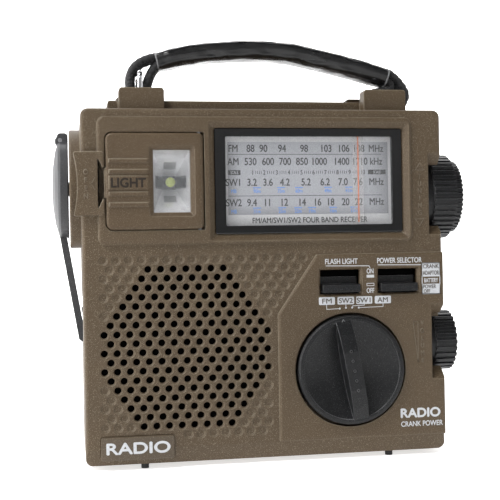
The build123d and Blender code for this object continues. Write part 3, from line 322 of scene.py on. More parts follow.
def lamp_mirror(name):
    """Aluminised reflector: bright, hazy facets, partly white and diffuse to paint in bright reflections,
    with painted dark reflections of the lamp's holder as lobes in them.
    """
    # only partly metallic: its white diffuse part is painted brightness standing in for reflections
    material = polished_metal(name, (0.96, 0.96, 0.98), 0.08, depth=0.004 * MM, metallic=0.45)
    tree = material.node_tree
    shader = tree.nodes["Principled BSDF"]
    low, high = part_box("lamp_reflector")
    place = add(tree, "ShaderNodeTexCoord")
    away = add(tree, "ShaderNodeVectorMath", operation="SUBTRACT")
    away.inputs[1].default_value = (0.5 * (low.x + high.x), 0.0, 0.5 * (low.z + high.z))
    size = add(tree, "ShaderNodeVectorMath", operation="ABSOLUTE")
    parts = add(tree, "ShaderNodeSeparateXYZ")
    tree.links.new(place.outputs["Object"], away.inputs[0])
    tree.links.new(away.outputs["Vector"], size.inputs[0])
    tree.links.new(size.outputs["Vector"], parts.inputs["Vector"])
    across, up = parts.outputs["X"], parts.outputs["Z"]
    # painted reflections of the lamp's holder: a dark band across the middle, and softer dark patches above
    # and below it
    dark_side_reflections = (remap(tree, up, 2.9 * MM, 2.1 * MM), remap(tree, across, 6.6 * MM, 6.0 * MM))
    dark_end_reflections = (remap(tree, across, 2.9 * MM, 2.3 * MM), remap(tree, up, 8.6 * MM, 8.0 * MM),
                 remap(tree, up, 5.2 * MM, 5.8 * MM, 0.0, 0.6))
    shade = shader.inputs["Base Color"].links[0].from_socket
    for lobe in (dark_side_reflections, dark_end_reflections):
        share = lobe[0]
        for edge in lobe[1:]:
            share = product(tree, share, edge)
        shade = blend_colour(tree, share, shade, (0.03, 0.03, 0.035))
    tree.links.new(shade, shader.inputs["Base Color"])
    return material


def dial_paper(name):
    """Matt white card with faint fibres."""
    material, tree, shader = new_material(name, (0.62, 0.62, 0.63), 0.6)
    fibres = noise_at(tree, 900.0, 3.0)
    shade = blend_colour(tree, remap(tree, fibres, 0.3, 0.7), (0.58, 0.58, 0.6), (0.66, 0.66, 0.67))
    tree.links.new(shade, shader.inputs["Base Color"])
    return material


# the case's pale tone below colours both its flecks and the painted highlights on its edges; the edge
# strengths are set high for the case, door, knobs and bezel to paint their bright rims
OLIVE_FLECK_AND_HIGHLIGHT = (0.36, 0.31, 0.23)
olive_case = moulded_plastic("olive_case", (0.096, 0.067, 0.039), 0.5, sparkle=0.55, pale_tone=OLIVE_FLECK_AND_HIGHLIGHT,
                             edge_highlight=0.9, bevel=0.8 * MM, Specular_IOR_Level=0.32)
olive_door = moulded_plastic("olive_door", (0.092, 0.062, 0.035), 0.48, sparkle=0.5, pale_tone=OLIVE_FLECK_AND_HIGHLIGHT,
                             edge_highlight=0.95, bevel=0.8 * MM, Specular_IOR_Level=0.32)
olive_plate = moulded_plastic("olive_plate", (0.088, 0.063, 0.038), 0.4, pale_tone=(0.33, 0.29, 0.22), edge_highlight=0.8)
# raised marks are a lighter olive than the case: a painted highlight on the moulded letters and lines
olive_raised_lit = moulded_plastic("olive_raised_lit", (0.15, 0.115, 0.075), 0.5, pale_tone=OLIVE_FLECK_AND_HIGHLIGHT, edge_highlight=0.6)
knob_black = moulded_plastic("knob_black", (0.006, 0.0064, 0.0072), 0.34, grain=0.35 * MM, sparkle=0.2,
                             pale_tone=(0.3, 0.3, 0.31), edge_highlight=0.95, bevel=0.3 * MM, Specular_IOR_Level=0.36)
knob_mark = moulded_plastic("knob_mark", (0.2, 0.2, 0.205), 0.45)
crank_charcoal = moulded_plastic("crank_charcoal", (0.045, 0.046, 0.049), 0.45, pale_tone=(0.2, 0.2, 0.205),
                                 edge_highlight=0.5)
inner_grey = moulded_plastic("inner_grey", (0.12, 0.12, 0.125), 0.5)
bezel_gloss = moulded_plastic("bezel_gloss", (0.006, 0.006, 0.0065), 0.12, sparkle=0.0, depth=0.004 * MM,
                              pale_tone=(0.5, 0.5, 0.5), edge_highlight=0.3, bevel=0.3 * MM, Coat_Weight=0.5,
                              Coat_Roughness=0.06)
foot_rubber = moulded_plastic("foot_rubber", (0.02, 0.02, 0.02), 0.8, sparkle=0.1, edge_highlight=0.2)
cell_wrap = moulded_plastic("cell_wrap", (0.04, 0.045, 0.06), 0.3, sparkle=0.0, edge_highlight=0.3)
pack_wrap = moulded_plastic("pack_wrap", (0.03, 0.16, 0.06), 0.35, sparkle=0.0, edge_highlight=0.3)
board_green = moulded_plastic("board_green", (0.01, 0.08, 0.03), 0.35, sparkle=0.1, edge_highlight=0.4)
ferrite = moulded_plastic("ferrite", (0.03, 0.029, 0.028), 0.6)
paper_cone = moulded_plastic("paper_cone", (0.006, 0.006, 0.006), 0.9, sparkle=0.0, edge_highlight=0.1,
                             Specular_IOR_Level=0.1)
chrome = polished_metal("chrome", (0.78, 0.78, 0.8), 0.07, (0.05, 1.0, 1.0))
steel = polished_metal("steel", (0.5, 0.5, 0.52), 0.3, (0.1, 1.0, 1.0), 0.01 * MM)
mirror = lamp_mirror("mirror")
iron = polished_metal("iron", (0.16, 0.16, 0.17), 0.5)
brass = polished_metal("brass", (0.7, 0.5, 0.22), 0.28)
# painted shade: a near-black matt finish for parts deep inside the case
shade_black = moulded_plastic("shade_black", (0.002, 0.002, 0.002), 0.9, sparkle=0.0, edge_highlight=0.0,
                              Specular_IOR_Level=0.05)
copper = polished_metal("copper", (0.62, 0.26, 0.12), 0.35, (8.0, 0.1, 0.1), 0.1 * MM)
window_clear = clear_plastic("window_clear", (0.9, 0.92, 0.93), 0.06)
lens_clear = clear_plastic("lens_clear", (0.9, 0.93, 0.95), 0.08)
pointer_clear = clear_plastic("pointer_clear", (0.85, 0.83, 0.83), 0.14, 0.2)
led_yellow = lit_dome("led_yellow")
dial_white = dial_paper("dial_white")
white_ink = printed_ink("white_ink", (0.68, 0.70, 0.73))
black_ink = printed_ink("black_ink", (0.02, 0.02, 0.022))
brown_ink = printed_ink("brown_ink", (0.10, 0.085, 0.07))
blue_ink = printed_ink("blue_ink", (0.08, 0.28, 0.8))
red_ink = printed_ink("red_ink", (0.75, 0.2, 0.07))
grey_print = printed_ink("grey_print", (0.40, 0.41, 0.44))
field_print = shaded_print("field_print")
carved_brown = printed_ink("carved_brown", (0.02, 0.014, 0.009), 0.8)
vinyl = glossy_vinyl("vinyl")
vinyl_edge = printed_ink("vinyl_edge", (0.22, 0.22, 0.225), 0.4)
webbing = woven_webbing("webbing")

# the finish of each material slot, then each CAD node takes the finish of its slot
finishes = {
    "olive_case": olive_case, "olive_door": olive_door, "olive_plate": olive_plate,
    "black_plastic": knob_black, "black_gloss": bezel_gloss, "charcoal_plastic": crank_charcoal,
    "clear_window": window_clear, "clear_lens": lens_clear, "clear_pointer": pointer_clear,
    "dial_white": dial_white, "chrome_metal": chrome, "steel": steel,
    "reflector_chrome": mirror, "led_yellow": led_yellow, "grey_plastic": inner_grey,
    "brass_contact": brass, "cell_wrap": cell_wrap, "pack_wrap": pack_wrap, "board_green": board_green,
    "ferrite": ferrite, "coil_copper": copper, "paper_cone": paper_cone, "magnet_iron": iron,
    "vinyl_sleeve": vinyl, "webbing_black": webbing, "foot_rubber": foot_rubber,
}
for entry in frame["record"]["subparts"]:
    mesh = nodes[entry["node"]].data
    mesh.materials.clear()
    mesh.materials.append(finishes[entry["material_slot"]])
# parts seen only through the grille and the switch slots are painted matt black: painted shade, so the
# insides look dark
for hidden in ("speaker_frame", "speaker_magnet", "slide_switches"):
    nodes[hidden].data.materials[0] = shade_black


# ---------------------------------------------------------------- building pieces
def linked_object(name, data):
    holder = bpy.data.objects.new(name, data)
    bpy.context.scene.collection.objects.link(holder)
    return holder


def mesh_from_curve(name, curve):
    """Mesh of a text or a bevelled curve."""
    holder = linked_object(name, curve)
    bpy.context.view_layer.update()
    mesh = bpy.data.meshes.new_from_object(holder.evaluated_get(bpy.context.evaluated_depsgraph_get()))
    bpy.data.objects.remove(holder)
    return mesh


def mesh_from_bmesh(name, joined):
    mesh = bpy.data.meshes.new(name)
    joined.to_mesh(mesh)
    joined.free()
    return mesh


def place_piece(name, mesh, body, material):
    """Puts a finished mesh in the scene, riding on a body."""
    mesh.name = name
    mesh.materials.clear()
    mesh.materials.append(material)
    piece = linked_object(name, mesh)
    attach(piece, body)
    return piece


def word_mesh(text):
    """Outline of a word as a thin mesh, about one unit tall."""
    curve = bpy.data.curves.new("word", "FONT")
    curve.body = text
    curve.extrude = 0.02
    curve.align_x = "CENTER"
    return mesh_from_curve("word", curve)


def lettering(name, words, y, body, material, thick=INK, weight=0.05):
    """Words on a face that looks to the front. Each is (text, x, z, height, squeeze) in mm.

    Weight is the extra stroke width as a share of the height, from copies a little to each side."""
    tall = word_mesh("H")
    low, high = min(v.co.y for v in tall.vertices), max(v.co.y for v in tall.vertices)
    bpy.data.meshes.remove(tall)
    middle = 0.5 * (low + high)
    joined = bmesh.new()
    for text, x, z, height, squeeze in words:
        mesh = word_mesh(text)
        scale = height * MM / (high - low)
        flat = [vertex.co.copy() for vertex in mesh.vertices]
        spread = 0.5 * weight * height * MM
        shifts = ((-spread, 0.0), (spread, 0.0), (0.0, spread), (0.0, -spread))
        for copy, (dx, dz) in enumerate(shifts):
            raise_by = thick + 0.006 * MM * copy
            for vertex, (u, v, w) in zip(mesh.vertices, flat):
                vertex.co = (x * MM + u * scale * squeeze + dx, y - raise_by * (0.5 + 25.0 * w),
                             z * MM + (v - middle) * scale + dz)
            joined.from_mesh(mesh)
        bpy.data.meshes.remove(mesh)
    bmesh.ops.recalc_face_normals(joined, faces=joined.faces)
    return place_piece(name, mesh_from_bmesh(name, joined), body, material)


def outline_points(x0, x1, z0, z1, radius, steps=4):
    """Rounded rectangle as (x, z) points in mm."""
    points = []
    for cx, cz, start in ((x1 - radius, z1 - radius, 0), (x0 + radius, z1 - radius, 90),
                          (x0 + radius, z0 + radius, 180), (x1 - radius, z0 + radius, 270)):
        for k in range(steps + 1):
            angle = radians(start + 90 * k / steps)
            points.append((cx + radius * cos(angle), cz + radius * sin(angle)))
    return points


def dot_points(x, z, radius, steps=12):
    angles = [2 * pi * k / steps for k in range(steps)]
    return [(x + radius * cos(angle), z + radius * sin(angle)) for angle in angles]


def line_points(x0, z0, x1, z1, width):
    """Thin straight bar between two points."""
    run = Vector((x1 - x0, z1 - z0)).normalized() * width / 2
    side = Vector((-run.y, run.x))
    ends = (Vector((x0, z0)) - run, Vector((x1, z1)) + run)
    return [tuple(ends[0] + side), tuple(ends[0] - side), tuple(ends[1] - side), tuple(ends[1] + side)]


def printed_shapes(name, outlines, y, body, material, thick=INK):
    """Flat printed patches on a face that looks to the front, from (x, z) outlines in mm."""
    joined = bmesh.new()
    for points in outlines:
        rings = [[joined.verts.new((x * MM, depth, z * MM)) for x, z in points]
                 for depth in (y, y - thick)]
        joined.faces.new(rings[1])
        joined.faces.new(rings[0][::-1])
        for k in range(len(points)):
            after = (k + 1) % len(points)
            joined.faces.new((rings[0][k], rings[0][after], rings[1][after], rings[1][k]))
    bmesh.ops.recalc_face_normals(joined, faces=joined.faces)
    return place_piece(name, mesh_from_bmesh(name, joined), body, material)


# ---------------------------------------------------------------- dial print
# letter heights, and each scale's z, name, unit and figures with their x (mm)
TALL, TITLE, SMALL, TINY = 2.9, 2.2, 1.5, 1.15
unit_x, name_x = 48.6, -13.2
scale_rows = (
    (131.0, "FM", "MHz", (("88", -5.8), ("90", -0.3), ("94", 7.7), ("98", 17.2), ("103", 26.7), ("106", 34.4),
                          ("108", 41.0))),
    (125.5, "AM", "kHz", (("530", -5.9), ("600", 1.6), ("700", 8.9), ("850", 16.2), ("1000", 23.6),
                          ("1400", 33.4), ("1710", 41.4))),
    (116.8, "SW1", "MHz", (("3.2", -5.4), ("3.6", 1.4), ("4.2", 8.7), ("5.2", 17.8), ("6.2", 26.1),
                           ("7.0", 33.9), ("7.6", 40.5))),
    (108.3, "SW2", "MHz", (("9.4", -5.5), ("11", 1.1), ("12", 8.2), ("14", 15.9), ("16", 22.6), ("18", 28.3),
                           ("20", 34.9), ("22", 40.8))),
)
metre_rows = (
    (114.5, 113.1, (("90m", -3.3), ("75m", 7.0), ("60m", 14.7), ("49m", 27.3), ("41m", 36.5))),
    (106.0, 104.6, (("31m", -3.4), ("25m", 7.3), ("22m", 14.2), ("19m", 20.2), ("16m", 29.4), ("13m", 38.6))),
)
tuning_digits = (-5.0, -0.1, 5.3, 10.5, 15.9, 21.1, 26.3, 31.6, 36.9, 42.6)

field_outline = outline_points(-15.6, 53.8, 103.2, 133.7, 0.2)
printed_shapes("dial_field", [field_outline], card_y, "case", field_print)
words = [("FM/AM/SW1/SW2 FOUR BAND RECEIVER", 19.4, 100.8, TITLE, 0.86)]
for z, band, unit, marks in scale_rows:
    words += [(band, name_x, z, TALL, 0.8), (unit, unit_x, z, TALL, 0.8)]
    words += [(mark, x, z, TALL, 0.82) for mark, x in marks]
words += [(str(k + 1), x, 120.9, 1.8, 0.8) for k, x in enumerate(tuning_digits)]
lettering("dial_figures", words, card_y - INK, "case", black_ink)

ticks = []
for left, right in zip(tuning_digits, tuning_digits[1:]):
    ticks += [line_points(x, 120.4, x, 121.4, 0.22)
              for x in (left + (right - left) * share for share in (0.26, 0.42, 0.58, 0.74))]
rules = [line_points(-15.4, z, 50.8, z, 0.22) for z in (128.5, 111.1)]
boxes = [outline_points(-15.4, -10.2, 119.9, 121.9, 0.1), outline_points(45.0, 52.8, 119.9, 121.9, 0.1)]
printed_shapes("dial_rules", ticks + rules + boxes, card_y - INK, "case", black_ink)
metre_words, metre_bars = [], []
for bar_z, word_z, marks in metre_rows:
    metre_words += [(mark, x, word_z, SMALL, 0.8) for mark, x in marks]
    metre_bars += [line_points(x - 1.5, bar_z, x + 1.5, bar_z, 0.35) for mark, x in marks]
metre_words += [("MB", name_x, 113.1, SMALL, 0.8), ("MB", name_x, 104.6, SMALL, 0.8)]
lettering("dial_metre_bands", metre_words, card_y - INK, "case", blue_ink)
printed_shapes("dial_metre_bars", metre_bars, card_y - INK, "case", blue_ink)
box_words = [("SCALE", x, 120.9, TINY, 0.7) for x in (-12.8, 48.9)]
lettering("dial_box_words", box_words, card_y - INK - INK_OVER, "case", grey_print)

pointer_low, pointer_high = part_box("dial_pointer")
pointer_x = 0.5 * (pointer_low.x + pointer_high.x) / MM
pointer_line = line_points(pointer_x, pointer_low.z / MM + 0.6, pointer_x, pointer_high.z / MM - 1.6, 0.55)
printed_shapes("pointer_line", [pointer_line], pointer_low.y + 0.45 * MM, "pointer",
               red_ink)


# ---------------------------------------------------------------- print on the control panel
def framed(x0, x1, z0, z1, width):
    """Thin rectangular outline."""
    return [line_points(x0, z0, x1, z0, width), line_points(x1, z0, x1, z1, width),
            line_points(x1, z1, x0, z1, width), line_points(x0, z1, x0, z0, width)]


LINE = 0.3
# the band names' patches, their dots and the leads between them (mm)
band_tabs = (("FM", 21.1, 28.0), ("SW2", 29.1, 36.3), ("SW1", 37.2, 44.2), ("AM", 45.3, 52.4))
band_dots = ((30.0, 63.3), (32.7, 63.6), (35.4, 63.6), (38.3, 63.5))
leads = (((24.4, 65.0), (24.4, 63.1), (30.0, 63.3)),
         ((32.7, 65.0), (32.7, 63.6)),
         ((40.7, 65.0), (40.7, 64.5), (35.6, 64.3), (35.4, 63.6)),
         ((48.9, 65.0), (48.9, 63.7), (38.3, 63.5)))
white_shapes = [outline_points(x0, x1, 65.0, 68.2, 0.5) for word, x0, x1 in band_tabs]
white_shapes += [dot_points(x, z, 0.42) for x, z in band_dots]
for lead in leads:
    white_shapes += [line_points(*a, *b, 0.25) for a, b in zip(lead, lead[1:])]
# underlines of the two titles, the lamp switch's two marks and the power selector's label
white_shapes += [line_points(24.4, 81.3, 43.0, 81.0, LINE), line_points(43.0, 81.0, 43.4, 80.2, LINE)]
white_shapes += [outline_points(41.9, 45.2, 76.0, 77.2, 0.1)] + framed(42.0, 45.1, 72.6, 73.6, 0.25)
white_shapes += [line_points(47.0, 81.3, 65.8, 81.0, LINE)]
white_shapes += [outline_points(66.2, 74.4, 75.9, 81.8, 0.5), outline_points(66.2, 74.4, 68.4, 72.8, 0.5)]
white_shapes += framed(66.35, 74.25, 68.6, 81.6, 0.3)
printed_shapes("panel_marks", white_shapes, panel_y, "case", white_ink)
white_words = [("FLASH LIGHT", 31.0, 83.1, 2.1, 0.78), ("POWER SELECTOR", 56.4, 83.1, 2.1, 0.76),
               ("ON", 43.5, 78.8, 2.0, 0.66), ("OFF", 43.5, 70.6, 2.0, 0.66),
               ("BATTERY", 70.3, 74.3, 1.7, 0.6), ("CRANK POWER", 65.2, 13.6, 2.1, 0.84)]
lettering("panel_words", white_words, panel_y, "case", white_ink)
tab_words = [(word, 0.5 * (x0 + x1), 66.6, 2.0, squeeze)
             for (word, x0, x1), squeeze in zip(band_tabs, (1.25, 1.05, 1.15, 1.1))]
tab_words += [("CRANK", 70.3, 80.3, 1.7, 0.82), ("ADAPTOR", 70.3, 77.5, 1.7, 0.62),
              ("POWER", 69.6, 71.7, 1.5, 0.75), ("OFF", 68.4, 69.7, 1.5, 0.75)]
lettering("panel_tab_words", tab_words, panel_y - INK_OVER, "case", brown_ink)
lettering("panel_title", [("RADIO", 64.6, 18.2, 3.6, 1.1)], panel_y, "case", white_ink,
          weight=0.12)
lettering("plate_word", [("RADIO", -55.0, 9.1, 4.3, 1.36)], plate_y, "case", white_ink,
          weight=0.1)


# ---------------------------------------------------------------- raised and carved marks
def stacked(text, x, top, bottom, height, squeeze=0.8):
    """Upright letters one above the other."""
    step = (top - bottom) / (len(text) - 1)
    return [(letter, x, top - k * step, height, squeeze) for k, letter in enumerate(text)]


def open_line(corners, width=LINE):
    """Bars from each corner to the next."""
    return [line_points(*a, *b, width) for a, b in zip(corners, corners[1:])]


def triangle(x, z, half, tip):
    return open_line(((x - half, z), (x, z + tip), (x + half, z), (x - half, z)))


def raised_word(name, letters, y):
    lettering(name, letters, y, "case", olive_raised_lit, RAISED)


def raised_lines(name, lines, y):
    printed_shapes(name, lines, y, "case", olive_raised_lit, RAISED)


raised_word("tuning_word", stacked("TUNING", 66.3, 118.6, 103.2, 2.0), front_y)
raised_word("volume_word", stacked("VOLUME", 66.0, 56.2, 40.4, 1.9), panel_y)
raised_lines("tuning_arrows", triangle(66.4, 121.3, 1.9, 2.9) + triangle(66.1, 100.5, 1.9, -2.9), front_y)
raised_lines("volume_wedge", open_line(((62.0, 56.8), (64.2, 56.8), (64.0, 39.8), (62.0, 56.8))), panel_y)
tab_y = front_y - 1.7 * MM
raised_word("tab_word", stacked("OPEN", -74.2, 121.0, 111.2, 2.1), tab_y)
raised_lines("tab_arrow", open_line(((-70.6, 118.6), (-71.9, 116.2), (-70.6, 113.8))), tab_y)
lettering("lamp_word", [("LIGHT", -57.3, 116.5, 3.6, 0.96)], door_y - 0.35 * MM, "lamp_door",
          carved_brown, 0.03 * MM, 0.1)

# pointer triangle and the row of dimples on the band knob
band_low, band_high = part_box("band_knob")
knob_x, knob_z = 0.5 * (band_low.x + band_high.x) / MM, 0.5 * (band_low.z + band_high.z) / MM
knob_lean = radians(9.9)
DIMPLES, DIMPLE_PITCH, DIMPLE_TOP, DIMPLE_R, DIMPLE_SIDES = 5, 4.15, 8.3, 0.55, 10
along = Vector((-sin(knob_lean), cos(knob_lean)))
across = Vector((cos(knob_lean), sin(knob_lean)))
centre = Vector((knob_x, knob_z))
corners = [centre + along * 19.2 - across * 1.3, centre + along * 21.6, centre + along * 19.2 + across * 1.3]
tip_lines = [line_points(*a, *b, 0.22) for a, b in zip(corners, corners[1:] + corners[:1])]
printed_shapes("knob_triangle", tip_lines, panel_y - 2.25 * MM, "band", knob_mark, 0.1 * MM)
rings = []
for k in range(DIMPLES):
    spot = centre + along * (DIMPLE_TOP - DIMPLE_PITCH * k)
    angles = [2 * pi * j / DIMPLE_SIDES for j in range(DIMPLE_SIDES + 1)]
    rim = [spot + along * DIMPLE_R * cos(a) + across * DIMPLE_R * sin(a) for a in angles]
    rings += [line_points(*a, *b, 0.18) for a, b in zip(rim, rim[1:])]
printed_shapes("knob_dimples", rings, band_low.y, "band", knob_mark, 0.08 * MM)


# ---------------------------------------------------------------- strap
strap_y = 0.5 * (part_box("left_ring")[0].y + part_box("left_ring")[1].y)
STRAP_STEP, WEB_STEP = 0.8, 0.45
# listed (x, z) stations of the sleeve's middle line and of the two webbing loops (mm)
strap_line = ((-43.2, 169.5), (-28.3, 172.9), (-7.2, 175.0), (13.0, 174.5), (27.3, 171.8), (43.6, 168.1),
              (59.0, 163.8))
left_loop = ((-40.0, 171.6), (-43.6, 171.6), (-48.9, 169.9), (-52.6, 167.0), (-54.3, 163.0), (-54.3, 158.5),
             (-54.3, 154.5), (-52.6, 151.6), (-49.6, 151.6), (-48.0, 154.5), (-47.3, 159.0), (-45.8, 163.6),
             (-43.4, 167.4), (-40.0, 169.4))
right_loop = ((56.0, 166.0), (59.2, 166.2), (63.2, 163.4), (66.6, 159.2), (67.6, 155.6), (65.2, 152.0),
              (59.0, 150.8), (54.4, 150.7), (51.0, 153.0), (52.2, 156.4), (56.6, 157.8), (60.2, 158.9),
              (60.8, 160.8), (59.2, 162.0), (56.0, 163.6))


def smooth_line(stations, step):
    """Evenly spaced points and tangents on a smooth curve through (x, z) stations, all in mm."""
    spline = []
    last = len(stations) - 1
    for i in range(last):
        p0, p1, p2, p3 = (Vector(stations[max(0, min(last, i + k))]) for k in (-1, 0, 1, 2))
        for j in range(12):
            t = j / 12
            spline.append(p1 + 0.5 * t * (p2 - p0 + t * (2 * p0 - 5 * p1 + 4 * p2 - p3
                                                        + t * (3 * p1 - p0 - 3 * p2 + p3))))
    spline.append(Vector(stations[-1]))
    total = sum((b - a).length for a, b in zip(spline, spline[1:]))
    count = max(2, round(total / step))
    points, walked, index = [], 0.0, 0
    for k in range(count + 1):
        target = total * k / count
        while index < len(spline) - 2 and walked + (spline[index + 1] - spline[index]).length < target:
            walked += (spline[index + 1] - spline[index]).length
            index += 1
        span = (spline[index + 1] - spline[index]).length
        points.append(spline[index].lerp(spline[index + 1], min(1.0, (target - walked) / span)))
    tangents = [(points[min(count, k + 1)] - points[max(0, k - 1)]).normalized() for k in range(count + 1)]
    return points, tangents, total


def swept(name, stations, step, section, body, material, replaced=()):
    """Skin swept along the stations.

    section(distance, total) gives the closed ring of (across, up) points at that distance, in mm."""
    points, tangents, total = smooth_line(stations, step)
    joined = bmesh.new()
    path = joined.verts.layers.float_vector.new("path")
    rings = []
    for k, (point, tangent) in enumerate(zip(points, tangents)):
        up = Vector((-tangent.y, tangent.x))
        distance = total * k / (len(points) - 1)
        ring = []
        for u, v in section(distance, total):
            x, z = point + up * v
            vertex = joined.verts.new((x * MM, strap_y + u * MM, z * MM))
            vertex[path] = (distance * MM, u * MM, v * MM)
            ring.append(vertex)
        rings.append(ring)
    size = len(rings[0])
    for a, b in zip(rings, rings[1:]):
        for k in range(size):
            after = (k + 1) % size
            joined.faces.new((a[k], a[after], b[after], b[k]))
    joined.faces.new(rings[0][::-1])
    joined.faces.new(rings[-1])
    bmesh.ops.recalc_face_normals(joined, faces=joined.faces)
    mesh = mesh_from_bmesh(name, joined)
    for polygon in mesh.polygons:
        polygon.use_smooth = len(polygon.vertices) == 4
    piece = place_piece(name, mesh, body, material)
    if replaced:
        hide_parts(*replaced)
    return piece


WEB_HALF, WEB_THICK = 5.5, 3.9


def webbing_section(distance, total):
    """Gathered band: several woven plies, slanting yarns that catch the light and rounded edges."""
    columns = 24
    top, bottom = [], []
    for k in range(columns + 1):
        u = -WEB_HALF + 2 * WEB_HALF * k / columns
        edge = (1.0 - abs(u / WEB_HALF) ** 4) ** 0.5 if k not in (0, columns) else 0.25
        yarn = 0.22 * sin(2 * pi * (distance / 2.6 + k / 8)) + 0.08 * sin(pi * distance / 0.9 + pi * k)
        top.append((u, max(edge, 0.25) * WEB_THICK / 2 + yarn))
        bottom.append((u, -max(edge, 0.25) * WEB_THICK / 2 + 0.5 * yarn))
    return top + bottom[::-1]


swept("webbing_left", left_loop, WEB_STEP, webbing_section, "strap", webbing,
      ("strap_webbing",))
swept("webbing_right", right_loop, WEB_STEP, webbing_section, "strap", webbing)

SLEEVE_HALF_W, SLEEVE_HALF_T = 7.3, 4.3


def sleeve_section(distance, total):
    """Padded vinyl tube: a rounded box that is narrower low down, pinched at its ends and creased."""
    end = min(distance, total - distance)
    pinch = 1.0 - 0.10 * max(0.0, 1.0 - end / 6.0)
    points = []
    steps = 56
    for k in range(steps):
        angle = 2 * pi * k / steps
        c, s = cos(angle), sin(angle)
        u = SLEEVE_HALF_W * (abs(c) ** 0.55) * (1 if c >= 0 else -1)
        v = SLEEVE_HALF_T * (abs(s) ** 0.62) * (1 if s >= 0 else -1)
        crease = noise.noise(Vector((distance * 0.16, 2.1 * c, 2.1 * s)))
        fold = noise.noise(Vector((distance * 0.55 + 1.5 * c, 3.0 + c, s)))
        swell = 1.0 + 0.05 * crease + 0.035 * fold * max(0.3, 1.0 - end / 30.0)
        if v < -1.0:
            swell *= 0.93
        points.append((u * swell * pinch, v * swell * pinch))
    return points


sleeve = swept("strap_sleeve_skin", strap_line, STRAP_STEP, sleeve_section, "strap", vinyl,
               ("strap_sleeve",))


def welt(name, distance_share, shift):
    """Raw folded edge of the vinyl round one end of the sleeve."""
    points, tangents, total = smooth_line(strap_line, STRAP_STEP)
    index = round(distance_share * (len(points) - 1))
    point, tangent = points[index], tangents[index]
    up = Vector((-tangent.y, tangent.x))
    curve = bpy.data.curves.new(name, "CURVE")
    curve.dimensions = "3D"
    curve.bevel_depth = 0.32 * MM
    spline = curve.splines.new("POLY")
    section = sleeve_section(total * distance_share, total)
    spline.points.add(len(section) - 1)
    for spot, (u, v) in zip(spline.points, section):
        x, z = point + up * v + tangent * shift
        spot.co = (x * MM, strap_y + u * MM, z * MM, 1.0)
    spline.use_cyclic_u = True
    return place_piece(name, mesh_from_curve(name, curve), "strap", vinyl_edge)


welt("sleeve_edge_left", 0.0, 0.1)
welt("sleeve_edge_right", 1.0, -0.1)


# ---------------------------------------------------------------- floor, light and camera
FLOOR_FRONT, FLOOR_BACK, FLOOR_HALF = -2.6, 1.2, 5.0
SWEEP_R, WALL_TOP = 0.6, 3.0


def studio_floor():
    """Pale floor that curves up behind the radio and, farther off, in front of it."""
    joined = bmesh.new()
    rise = [(SWEEP_R * sin(radians(a)), SWEEP_R - SWEEP_R * cos(radians(a))) for a in range(0, 91, 10)]
    rise.append((SWEEP_R, WALL_TOP))
    profile = [(FLOOR_FRONT - out, up) for out, up in rise[::-1]]
    profile += [(FLOOR_BACK + out, up) for out, up in rise]
    rows = [[joined.verts.new((x, y, z)) for x in (-FLOOR_HALF, FLOOR_HALF)] for y, z in profile]
    for a, b in zip(rows, rows[1:]):
        joined.faces.new((a[0], a[1], b[1], b[0])).smooth = True
    mesh = mesh_from_bmesh("studio_floor", joined)
    floor = linked_object("studio_floor", mesh)
    # bright behind the radio, darker on the wall that its front faces reflect
    pale, tree, shader = new_material("pale_floor", (0.9, 0.9, 0.9), 0.9)
    shader.inputs["Emission Color"].default_value = (1.0, 1.0, 1.0, 1.0)
    parts = add(tree, "ShaderNodeSeparateXYZ")
    tree.links.new(add(tree, "ShaderNodeTexCoord").outputs["Object"], parts.inputs["Vector"])
    front = remap(tree, parts.outputs["Y"], -1.4, FLOOR_FRONT)
    shade = blend_colour(tree, front, (0.9, 0.9, 0.9), (0.38, 0.38, 0.38))
    tree.links.new(shade, shader.inputs["Base Color"])
    glow = add(tree, "ShaderNodeMath", operation="MAXIMUM")
    tree.links.new(remap(tree, parts.outputs["Y"], -0.12, 0.02, 0.04, 0.85), glow.inputs[0])
    wall = remap(tree, parts.outputs["Y"], FLOOR_FRONT, FLOOR_FRONT - SWEEP_R, 0.04, 0.14)
    tree.links.new(wall, glow.inputs[1])
    tree.links.new(glow.outputs[0], shader.inputs["Emission Strength"])
    mesh.materials.append(pale)
    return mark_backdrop(floor)


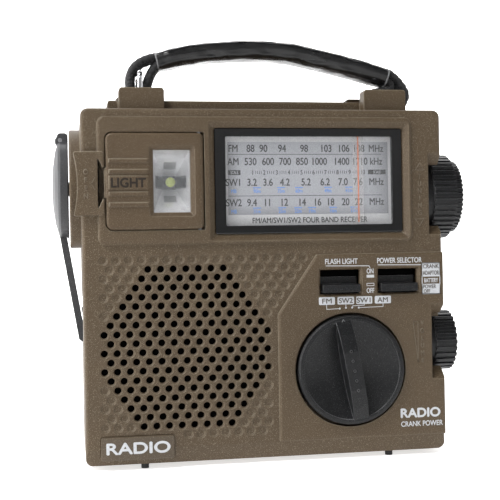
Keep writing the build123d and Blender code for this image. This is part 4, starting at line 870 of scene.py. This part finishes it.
def soft_light(name, place, aim, size, watts):
    lamp = bpy.data.lights.new(name, "AREA")
    lamp.shape = "RECTANGLE"
    lamp.size, lamp.size_y = size
    lamp.energy = watts
    holder = linked_object(name, lamp)
    holder.location = place
    holder.rotation_euler = (Vector(aim) - Vector(place)).to_track_quat("-Z", "Y").to_euler()


studio_floor()
middle = 0.5 * (cad_low + cad_high)
soft_light("key_light", (-0.65, -0.42, 1.15), middle, (0.4, 0.4), 12.0)
soft_light("left_strip", (-1.0, -0.12, 0.3), middle, (0.25, 0.9), 6.5)
soft_light("front_fill", (-0.7, -1.2, 0.8), middle, (0.5, 0.4), 2.8)
soft_light("right_fill", (1.1, -0.4, 0.5), middle, (0.2, 0.8), 1.8)
soft_light("back_wash", (0.0, 0.8, 1.5), (0.0, 1.7, 0.3), (2.0, 0.8), 30.0)

world = bpy.data.worlds.new("studio_world")
world.use_nodes = True
sky = world.node_tree.nodes["Background"]
sky.inputs["Color"].default_value = (1.0, 1.0, 1.0, 1.0)
sky.inputs["Strength"].default_value = 0.06
bpy.context.scene.world = world
bpy.context.scene.view_settings.view_transform = "Standard"

CAMERA_PLACE = (-0.0809, -0.4411, 0.0898)
CAMERA_YAW, CAMERA_PITCH, CAMERA_ROLL = radians(10.012), radians(-0.175), radians(-0.98)
SENSOR, FOCAL_OVER_WIDTH = 36.0, 2.04


def front_camera():
    """Camera standing left of the radio, level with its middle and turned to face it."""
    camera = bpy.data.cameras.new("camera")
    camera.sensor_width = SENSOR
    camera.lens = SENSOR * FOCAL_OVER_WIDTH
    camera.clip_start = 0.01
    forward = Vector((sin(CAMERA_YAW) * cos(CAMERA_PITCH), cos(CAMERA_YAW) * cos(CAMERA_PITCH),
                      sin(CAMERA_PITCH)))
    level = Vector((cos(CAMERA_YAW), -sin(CAMERA_YAW), 0.0))
    upright = level.cross(forward)
    right = level * cos(CAMERA_ROLL) + upright * sin(CAMERA_ROLL)
    up = upright * cos(CAMERA_ROLL) - level * sin(CAMERA_ROLL)
    holder = linked_object("camera", camera)
    rotation = Matrix((right, up, -forward)).transposed().to_4x4()
    holder.matrix_world = Matrix.Translation(CAMERA_PLACE) @ rotation
    bpy.context.scene.camera = holder


front_camera()
